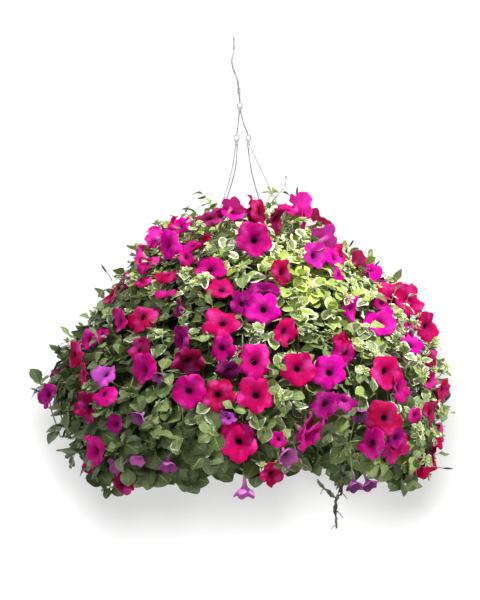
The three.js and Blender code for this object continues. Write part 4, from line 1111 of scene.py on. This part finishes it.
class Plant:
    """The leaves, leaflets, buds and stems of one piece, noted one by one and then laid together."""

    def __init__(self):
        self.leaves, self.leaflets, self.buds, self.stems = [], [], [], []
        self.over_petals = False

    def leaf(self, foot, along, up, long, plain=False):
        # Painted light and shade: the leaf is brighter and more yellow-green toward the light and at the
        # sunlit patch, and its real cream margin is widened there; a little of each is random tone.
        share = light_share(foot)
        bleached = not (plain or rng.random() < PLAIN_SHARE)
        cream = np.clip(0.85 * share + rng.uniform(-0.35, 0.25), 0, 1) if bleached else 0.0
        away = (foot[0] - SUNLIT_PATCH_AT[0]) ** 2 + (foot[2] - SUNLIT_PATCH_AT[1]) ** 2
        young = max(rng.uniform(-0.6, 0.85) * share, 0) + SUNLIT_PATCH_MOST * math.exp(-away / SUNLIT_PATCH_SPREAD)
        tone = (0.3 + 0.55 * share + rng.uniform(-0.14, 0.14), cream, min(young, 1.0))
        long = long * (1 + SHADE_GROWTH * max(0.4 - share, 0))
        wide = long * (0.84 - 0.24 * share * rng.random())
        bend = (rng.uniform(0.25, 1.1), rng.uniform(0.05, 0.3), rng.uniform(0, 6))
        self.leaves.append((foot, unit(along), unit(up), long, wide, *bend, tone, self.over_petals))

    def rosette(self, tip, aim, size):
        """Eight to eleven small leaflets round a shoot's tip, the young ones upright in the middle."""
        share = light_share(tip)
        start, other = frame_round(aim)
        count = rng.integers(8, 12)
        turn = rng.uniform(0, 6)
        for item in range(count):
            inner = item / (count - 1)
            lean = math.radians(82 - 58 * inner)
            aside = spoke(start, other, turn + item * GOLDEN_TURN)
            along = unit(aside * math.sin(lean) + aim * math.cos(lean))
            long = size * (1.15 - 0.65 * inner)
            # Leaflets toward the light are painted brighter, creamier and more yellow-green: painted light.
            # The young middle leaflets are yellow-green of their own.
            cream = 0.3 + 0.35 * share + 0.3 * rng.random()
            tone = (0.38 + 0.42 * share, cream, min(0.05 + 0.6 * inner**2 + 0.3 * share, 1))
            foot = tip + aside * 0.8 - aim * 3 * (1 - inner)
            wide = long * rng.uniform(0.46, 0.64)
            bend = (rng.uniform(0.2, 0.9), 0.3, rng.uniform(0, 6))
            up = unit(aim + 0.3 * aside)
            self.leaflets.append((foot, along, up, long, wide, *bend, tone, self.over_petals))

    def stem(self, line, wire, shade):
        self.stems.append((line, np.linspace(*wire, len(line)), shade))

    def shoot(self, foot, way, tip, aim, size=0):
        """A side shoot with leaves that shrink toward the rosette at its tip."""
        long = np.linalg.norm(tip - foot)
        middle = foot + (tip - foot) * 0.5 + way * 0.14 * long - UP * 0.05 * long
        line = smooth_line([foot, middle, tip], 3)
        if not self.over_petals and before_bloom(line, 0.5, 0.12).any():
            return
        share = light_share(tip)
        size = size or rng.uniform(*SHOOT_LEAF)
        # Painted light: the shoot's stem is paler toward the light.
        self.stem(line, SHOOT_WIRE, 0.55 + 0.45 * share)
        turn = rng.uniform(0, 6)
        start, other = frame_round(aim)
        for at in SHOOT_LEAVES:
            turn += GOLDEN_TURN
            along = spoke(start, other, turn) + aim * rng.uniform(0.15, 0.7) - UP * 0.1
            leaf_long = size * (1 - 0.42 * at) + rng.uniform(-3, 3)
            up = aim + 0.5 * UP + rng.normal(0, 0.2, 3)
            self.leaf(foot + (tip - foot) * at, along, up, leaf_long)
        if rng.random() < 0.03 + 0.05 * share:
            bud_tip = tip + unit(aim + rng.normal(0, 0.4, 3)) * rng.uniform(7, 11)
            self.bud(tip, bud_tip, rng.uniform(*BUD_LENGTH))
        if rng.random() < 0.4 + 0.3 * share:
            self.rosette(tip, aim, rng.uniform(*ROSETTE_SIZE))
        else:
            self.leaf(tip, aim + rng.normal(0, 0.3, 3), UP + rng.normal(0, 0.3, 3), size * 0.62)

    def bud(self, foot, tip, long):
        self.stem(smooth_line([foot, (foot + tip) / 2 + UP * 2, tip], 3), BUD_WIRE, 0.3)
        self.buds.append((tip, unit(tip - foot), long))

    def rows(self, noted):
        """The noted leaves as arrays, without those that would pierce a bloom or hide it."""
        keys = ("foot", "along", "up", "long", "wide", "arch", "fold", "phase", "tone", "over")
        rows = {key: np.array(values, float) for key, values in zip(keys, zip(*noted))}
        foot, blades = rows["foot"], rows["along"] * rows["long"][:, None]
        middle, tip = foot + blades * 0.5, foot + blades * 0.95
        lost = before_bloom(middle, 0.54, 0.12) | before_bloom(tip, 0.46, 0.14)
        lost |= before_bloom(foot, 0.3, 0.12)
        kept = ~lost | (rows["over"] > 0) & ~before_bloom(middle, 0.38, 0.12)
        return {key: value[kept] for key, value in rows.items()}

    def grow(self, name):
        """Its finishes are the leaf's, the stalk's and the bud's."""
        parts = Gathering()
        for noted, shape in ((self.leaves, LEAF), (self.leaflets, LEAFLET)):
            rows = self.rows(noted)
            parts.add(laid(shape, rows), shape, 0, rows["tone"])
        for line, radii, shade in self.stems:
            parts.add_stem(line, radii, 6 if radii[0] > 1.2 else 5, 1, shade)
        for foot, way, long in self.buds:
            parts.add((foot + stood(BUD, way) * long)[None], BUD, 2, [(0.5, 0, 0)])
        return parts.grow(name, leaf_finishes)


def out_at(place):
    """The way out of the mound near a place in it."""
    return mound_out(turn_of(place), min(place[2], MOUND_TOP - 2.0))


def depth_at(place):
    surface = mound_point(turn_of(place), min(place[2], MOUND_TOP - 2.0), 0.0)
    return (surface - place) @ out_at(place)


def leaf_places(line, first, gap):
    """Even places along a stem: their number and place, the stem's way, the way out and the leaf's side."""
    run = np.r_[0, np.cumsum(np.linalg.norm(np.diff(line, axis=0), axis=1))]
    at = np.arange(first, run[-1] - 2, gap)
    places, ahead = (np.stack([np.interp(at + step, run, xyz) for xyz in line.T], -1) for step in (0, 2))
    for item, (place, way) in enumerate(zip(places, unit(ahead - places + 1e-9))):
        out = out_at(place)
        yield item, place, way, out, unit(np.cross(way, out)) * (1 if item % 2 else -1)


def leaves_along(plant, line, first):
    """Leaves on alternate sides of a stem, and side shoots that reach the surface of the mound."""
    for item, place, way, out, aside in leaf_places(line, first, LEAF_GAP):
        along = aside * rng.uniform(0.5, 1) + out * rng.uniform(0.3, 1) + way * rng.uniform(-0.1, 0.4)
        long = rng.uniform(*LEAF_LENGTH) * (1 - 0.15 * light_share(place))
        up = out * 0.7 + UP * 0.6 + rng.normal(0, 0.2, 3)
        plant.leaf(place, along + UP * rng.uniform(0, 0.3), up, long)
        if item % SHOOT_EVERY == 1:
            heading = unit(out + UP * rng.uniform(0, 0.45) + aside * rng.uniform(-0.2, 0.8))
            surface = depth_at(place) + lump_at(place + out * 40) + rng.uniform(-12, 8)
            reach = np.clip(surface / max(heading @ out, 0.5), *SHOOT_REACH)
            aim = unit(heading + UP * 0.35 + rng.normal(0, 0.25, 3))
            plant.shoot(place, way, place + heading * reach, aim)


def leafy_trail(plant, index):
    for side in TRAIL_STEMS:
        turn = (index + 0.5 + side) * 2 * math.pi / TRAILS
        ring = rng.uniform(*TRAIL_RING)
        (out, rise), over = TRAIL_RISE
        line = on_axis_plane(turn, [(ring, ROOT_LEVEL), (ring + out, rise), over])
        depth = rng.uniform(*TRAIL_DEPTH)
        hem = HEM_LEVELS[index] + rng.uniform(*HEM_PLAY)
        for level in np.linspace(TRAIL_TOP, hem, TRAIL_BENDS):
            thin = -0.6 * min(lump_at(mound_point(turn, level, 0.0)), 0)
            swayed = turn + rng.uniform(-TRAIL_SWAY, TRAIL_SWAY)
            line.append(mound_point(swayed, level, depth + thin + rng.uniform(-6, 6)))
        line = smooth_line(line, 4)
        plant.stem(line, TRAIL_WIRE, 0.5)
        leaves_along(plant, line, TRAIL_BARE)
        aim = unit(out_at(line[-1]) + rng.normal(0, 0.3, 3))
        plant.shoot(line[-1], unit(line[-1] - line[-2]), line[-1] + aim * 20 + UP * 4, aim)


def inner_leaves(plant, index):
    """Large plain leaves in the shade behind the others."""
    for side in INNER_STEMS:
        turn = (index + 0.5 + side) * 2 * math.pi / TRAILS
        line = on_axis_plane(turn, INNER_RISE)
        for level in np.linspace(INNER_TOP, HEM_LEVELS[index] + 12, INNER_BENDS):
            line.append(mound_point(turn, level, rng.uniform(*INNER_DEPTH)))
        line = smooth_line(line, 4)
        # Painted shade: the inner stems get a dull, dark tone.
        plant.stem(line, INNER_WIRE, 0.2)
        for _, place, way, out, aside in leaf_places(line, INNER_BARE, INNER_GAP):
            along = aside + out * rng.uniform(-0.2, 0.8) + way * rng.uniform(-0.3, 0.3)
            up = out + UP * 0.3 + rng.normal(0, 0.15, 3)
            plant.leaf(place, along, up, rng.uniform(*INNER_LEAF), True)


def leafy_clump(plant, index):
    """The upright stems of one quarter of the crown."""
    for item in range(CROWN_STEMS):
        turn = item * GOLDEN_TURN
        if turn_between(turn, CLUMP_TURNS[index]) > math.pi / 4:
            continue
        reach = CROWN_REACH * math.sqrt((item + 0.5) / CROWN_STEMS)
        level = MOUND_TOP - 300 * (reach / MOUND_RADIUS) ** 2
        tip = np.array(on_axis_plane(turn, [(reach, level)])[0])
        tip[2] += rng.uniform(*CROWN_SUNK) + lump_at(tip) * 0.6 - 0.45 * max(-tip[0], 0)
        root = np.array((tip[0] * 0.5, tip[1] * 0.5, ROOT_LEVEL))
        low, high = root * (1.25, 1.25, 1) + UP * 50, root + (tip - root) * (0.85, 0.85, 0.72)
        line = smooth_line([root, low, high, tip], 5)
        plant.stem(line, CROWN_WIRE, 0.6)
        leaves_along(plant, line, CROWN_BARE)
        aim = unit(out_at(tip) * 0.5 + UP + rng.normal(0, 0.2, 3))
        plant.rosette(tip, aim, rng.uniform(*CROWN_ROSETTE))


def outer_place(across, level):
    """A place on the outline of the mound as the camera sees it."""
    shrink = 1 - OUTLINE_DEPTH / EYE_DISTANCE
    return np.array((across * shrink, -OUTLINE_DEPTH, EYE_HEIGHT + (level - EYE_HEIGHT) * shrink))


def root_for(tip):
    """Where a long shoot leaves the stems inside the mound."""
    return mound_point(turn_of(tip), min(tip[2] - ROOT_DROP, MOUND_TOP - 40.0), ROOT_DEPTH)


def nearest_plant(tip):
    turn = turn_of(tip) % (2 * math.pi)
    if tip[2] > CLUMP_LEVEL:
        away = [turn_between(turn, middle) for middle in CLUMP_TURNS]
        return plants["clump", away.index(min(away))]
    return plants["trail", int(turn // (2 * math.pi / TRAILS))]


def rim_shoots(front):
    """Small shoots that stand up beside some blooms and lean over the edge of their petals."""
    for bloom in front:
        width, face = bloom.width, bloom.face
        radial = spoke(*frame_of(face), rng.uniform(0, 2 * math.pi))
        foot = bloom.centre + radial * width * 0.72 - face * width * 0.5
        tip = bloom.centre + radial * width * 0.54 + face * (width * 0.08 + 4)
        if before_bloom(foot[None], 0.55, 0.4).any():
            continue
        plant = nearest_plant(foot)
        plant.over_petals = True
        plant.shoot(foot, radial * 0.5, tip, unit(face + UP * 0.3 - radial * 0.1), 22)
        plant.over_petals = False


def leaf_finish():
    """Grey-green leaf with a cream margin, a pale midrib and side veins; young ones are yellow-green. Each
    leaf's tone also paints light and shade on it: brighter and more yellow-green toward the light.
    """
    leaf = Finish("variegated_leaf")
    painted_light_and_tone, cream, youth = leaf.put("ShaderNodeSeparateColor", {0: leaf.tone()})
    across, along, _ = leaf.put("ShaderNodeSeparateXYZ", {0: leaf.chart()})
    aside = leaf.calc("ABSOLUTE", leaf.times(leaf.plus(across, -0.5), 2.0))
    patch, cloud = leaf.grain(95, 3, 0.6), leaf.grain(38, 2)
    rim = leaf.calc("MAXIMUM", aside, leaf.ramp(along, 0.7, 1.05))
    rim = leaf.plus(rim, leaf.plus(patch, -0.5))
    edge = leaf.plus(leaf.times(cream, -0.8), 1.1)
    margin = leaf.times(leaf.ramp(rim, edge, leaf.plus(edge, 0.26)), leaf.ramp(cream, 0.02, 0.12))
    green = leaf.mottled(cloud, (78, 96, 46), (112, 130, 84), 0.35, 0.65)
    green = leaf.mix(leaf.times(leaf.ramp(patch, 0.5, 0.58), cream), green, (160, 166, 132))
    colour = leaf.mix(margin, green, (248, 244, 226))
    # Yellow-green of young leaves, and of painted sunlight on leaves toward the light.
    colour = leaf.mix(leaf.times(youth, 0.75), colour, (180, 204, 58))
    slant = leaf.plus(leaf.times(along, 46.0), leaf.times(aside, -11.0))
    side_vein = leaf.times(leaf.ramp(leaf.calc("SINE", slant), 0.8, 1.0), 0.35)
    vein = leaf.calc("MAXIMUM", leaf.ramp(aside, 0.1, 0.03, 0.0, 0.8), side_vein)
    colour = leaf.mix(leaf.times(vein, 0.62), colour, (176, 192, 136))
    # Painted light and shade: each leaf is darkened or brightened by the first value of its tone.
    colour = leaf.brighter(colour, leaf.ramp(painted_light_and_tone, 0.0, 1.0, 0.5, 1.58))
    leaf.relief(leaf.plus(leaf.times(vein, -1.0), cloud), 0.5, 0.0012)
    return leaf.give(base_color=colour, roughness=0.5, specular_ior_level=0.36)


def bud_finish():
    bud = Finish("dark_bud")
    cloud = bud.grain(200, 2)
    bud.relief(cloud, 0.4, 0.0008)
    return bud.give(base_color=bud.mottled(cloud, (46, 34, 58), (82, 52, 96)), roughness=0.55)


LEAF, LEAFLET = leaf_shape(4, LEAF_STATIONS), leaf_shape(2, LEAFLET_STATIONS)
BUD = shape_of(bud_body(), lambda points: points[:, :2] + 0.5)
leaf_finishes = [leaf_finish(), stalk_finish(), bud_finish()]
plants = {("trail", index): Plant() for index in range(TRAILS)}
plants.update({("clump", index): Plant() for index in range(len(CLUMP_TURNS))})
for (kind, index), plant in plants.items():
    (leafy_trail if kind == "trail" else leafy_clump)(plant, index)
for index in range(TRAILS):
    inner_leaves(plants["trail", index], index)
rim_shoots(blooms[:len(FRONT_BLOOMS):RIM_SHOOT_EVERY])
for place in LONG_SHOOTS:
    tip = outer_place(*place)
    aim = unit(unit(tip - root_for(tip)) + UP * 0.3)
    nearest_plant(tip).shoot(root_for(tip), aim, tip - aim * 8, aim)
for place in BUD_PLACES:
    tip = outer_place(*place)
    base = tip + (root_for(tip) - tip) * 0.5
    nearest_plant(tip).bud(base, tip - unit(tip - base) * 14, 15)
for (kind, index), plant in plants.items():
    dress(plant.grow(f"leaves_of_{kind}_{index + 1}"), f"leafy_{kind}_{index + 1}", "leaf")


# Dead stem. One old stem has died and dried dark; it hangs out below the foliage with a fork, a few
# broken twigs and the last of its leaves rolled up on it.
DEAD_TURN = math.radians(-54) - 0.04
DEAD_OVER_RIM = ((116, ROOT_LEVEL), (119, -364), (136, -350), (157, -352), (166, -384))
DEAD_LEVELS, DEAD_DEPTH, DEAD_HANG_RING = (-400, -470, -540), 74.0, 236
DEAD_THICK, FORK_THICK, TWIG_THICK = (2.4, 1.3), (1.4, 0.8), (0.9, 0.5)
# What hangs out is given as seen: across and level of each bend, or of both ends with a leaf's thickness
DEAD_HANG = ((150, -663), (142, -681), (141, -707), (142, -727))
DEAD_FORK = ((142, -682), (134, -677), (114, -656))
DEAD_TWIGS = (
    ((146, -672), (158, -684)), ((141, -700), (152, -712)), ((124, -667), (118, -676)),
    ((142, -722), (134, -728)),
)
DEAD_LEAVES = (
    (153, -650, 145, -676, 3.2), (144, -676, 140, -692, 2.4), (141, -688, 140, -712, 2.8),
    (142, -710, 142, -727, 1.7), (140, -681, 122, -666, 3.2), (123, -668, 113, -653, 2.6),
    (150, -655, 142, -670, 2.2),
)
ROLL_BENDS = 18


def hanging(across, level):
    return np.array((across, -math.sqrt(DEAD_HANG_RING**2 - across**2), level))


def rough_stem(line, thick, thin):
    line = smooth_line(line, 5)
    radii = np.linspace(thick, thin, len(line)) * (1 + 0.14 * np.sin(np.arange(len(line)) * 2.3))
    bits.add_stem(line, radii, 7, 0, 0.5)


def rolled_leaf(foot, tip, thick):
    """A dead leaf shrunk to a crooked roll round the stem, thickest a third of the way along."""
    share = np.linspace(0, 1, ROLL_BENDS)
    crook = np.sin(share * 7 + thick * 5)[:, None] * np.array((0.7, 0.5, 0.2))
    rough = 1 + 0.14 * np.sin(share * 19 + thick * 3)
    radii = 0.3 + thick * np.clip(np.sin(np.pi * share**0.7), 0, 1) * rough
    bits.add_stem(foot + (tip - foot) * share[:, None] + crook, radii, 9, 0, 0.5)


def withered_finish():
    withered = Finish("withered_stem")
    cloud, fine = withered.grain(90, 3), withered.grain(600, 3)
    withered.relief(fine, 0.6, 0.001)
    return withered.give(base_color=withered.mottled(cloud, (52, 50, 40), (98, 98, 76)), roughness=0.85)


bits = Gathering()
dead_line = on_axis_plane(DEAD_TURN, DEAD_OVER_RIM)
dead_line += [mound_point(DEAD_TURN, level, DEAD_DEPTH) for level in DEAD_LEVELS]
rough_stem([*dead_line, *(hanging(*spot) for spot in DEAD_HANG)], *DEAD_THICK)
rough_stem([hanging(*spot) for spot in DEAD_FORK], *FORK_THICK)
for twig in DEAD_TWIGS:
    foot, tip = (hanging(*spot) for spot in twig)
    rough_stem([foot, (foot + tip) / 2 + UP * 1.5, tip], *TWIG_THICK)
for across, level, end_across, end_level, thick in DEAD_LEAVES:
    rolled_leaf(hanging(across, level), hanging(end_across, end_level), thick)
dress(bits.grow("withered_stem", [withered_finish()]), "dead_stem", "dead_stem")
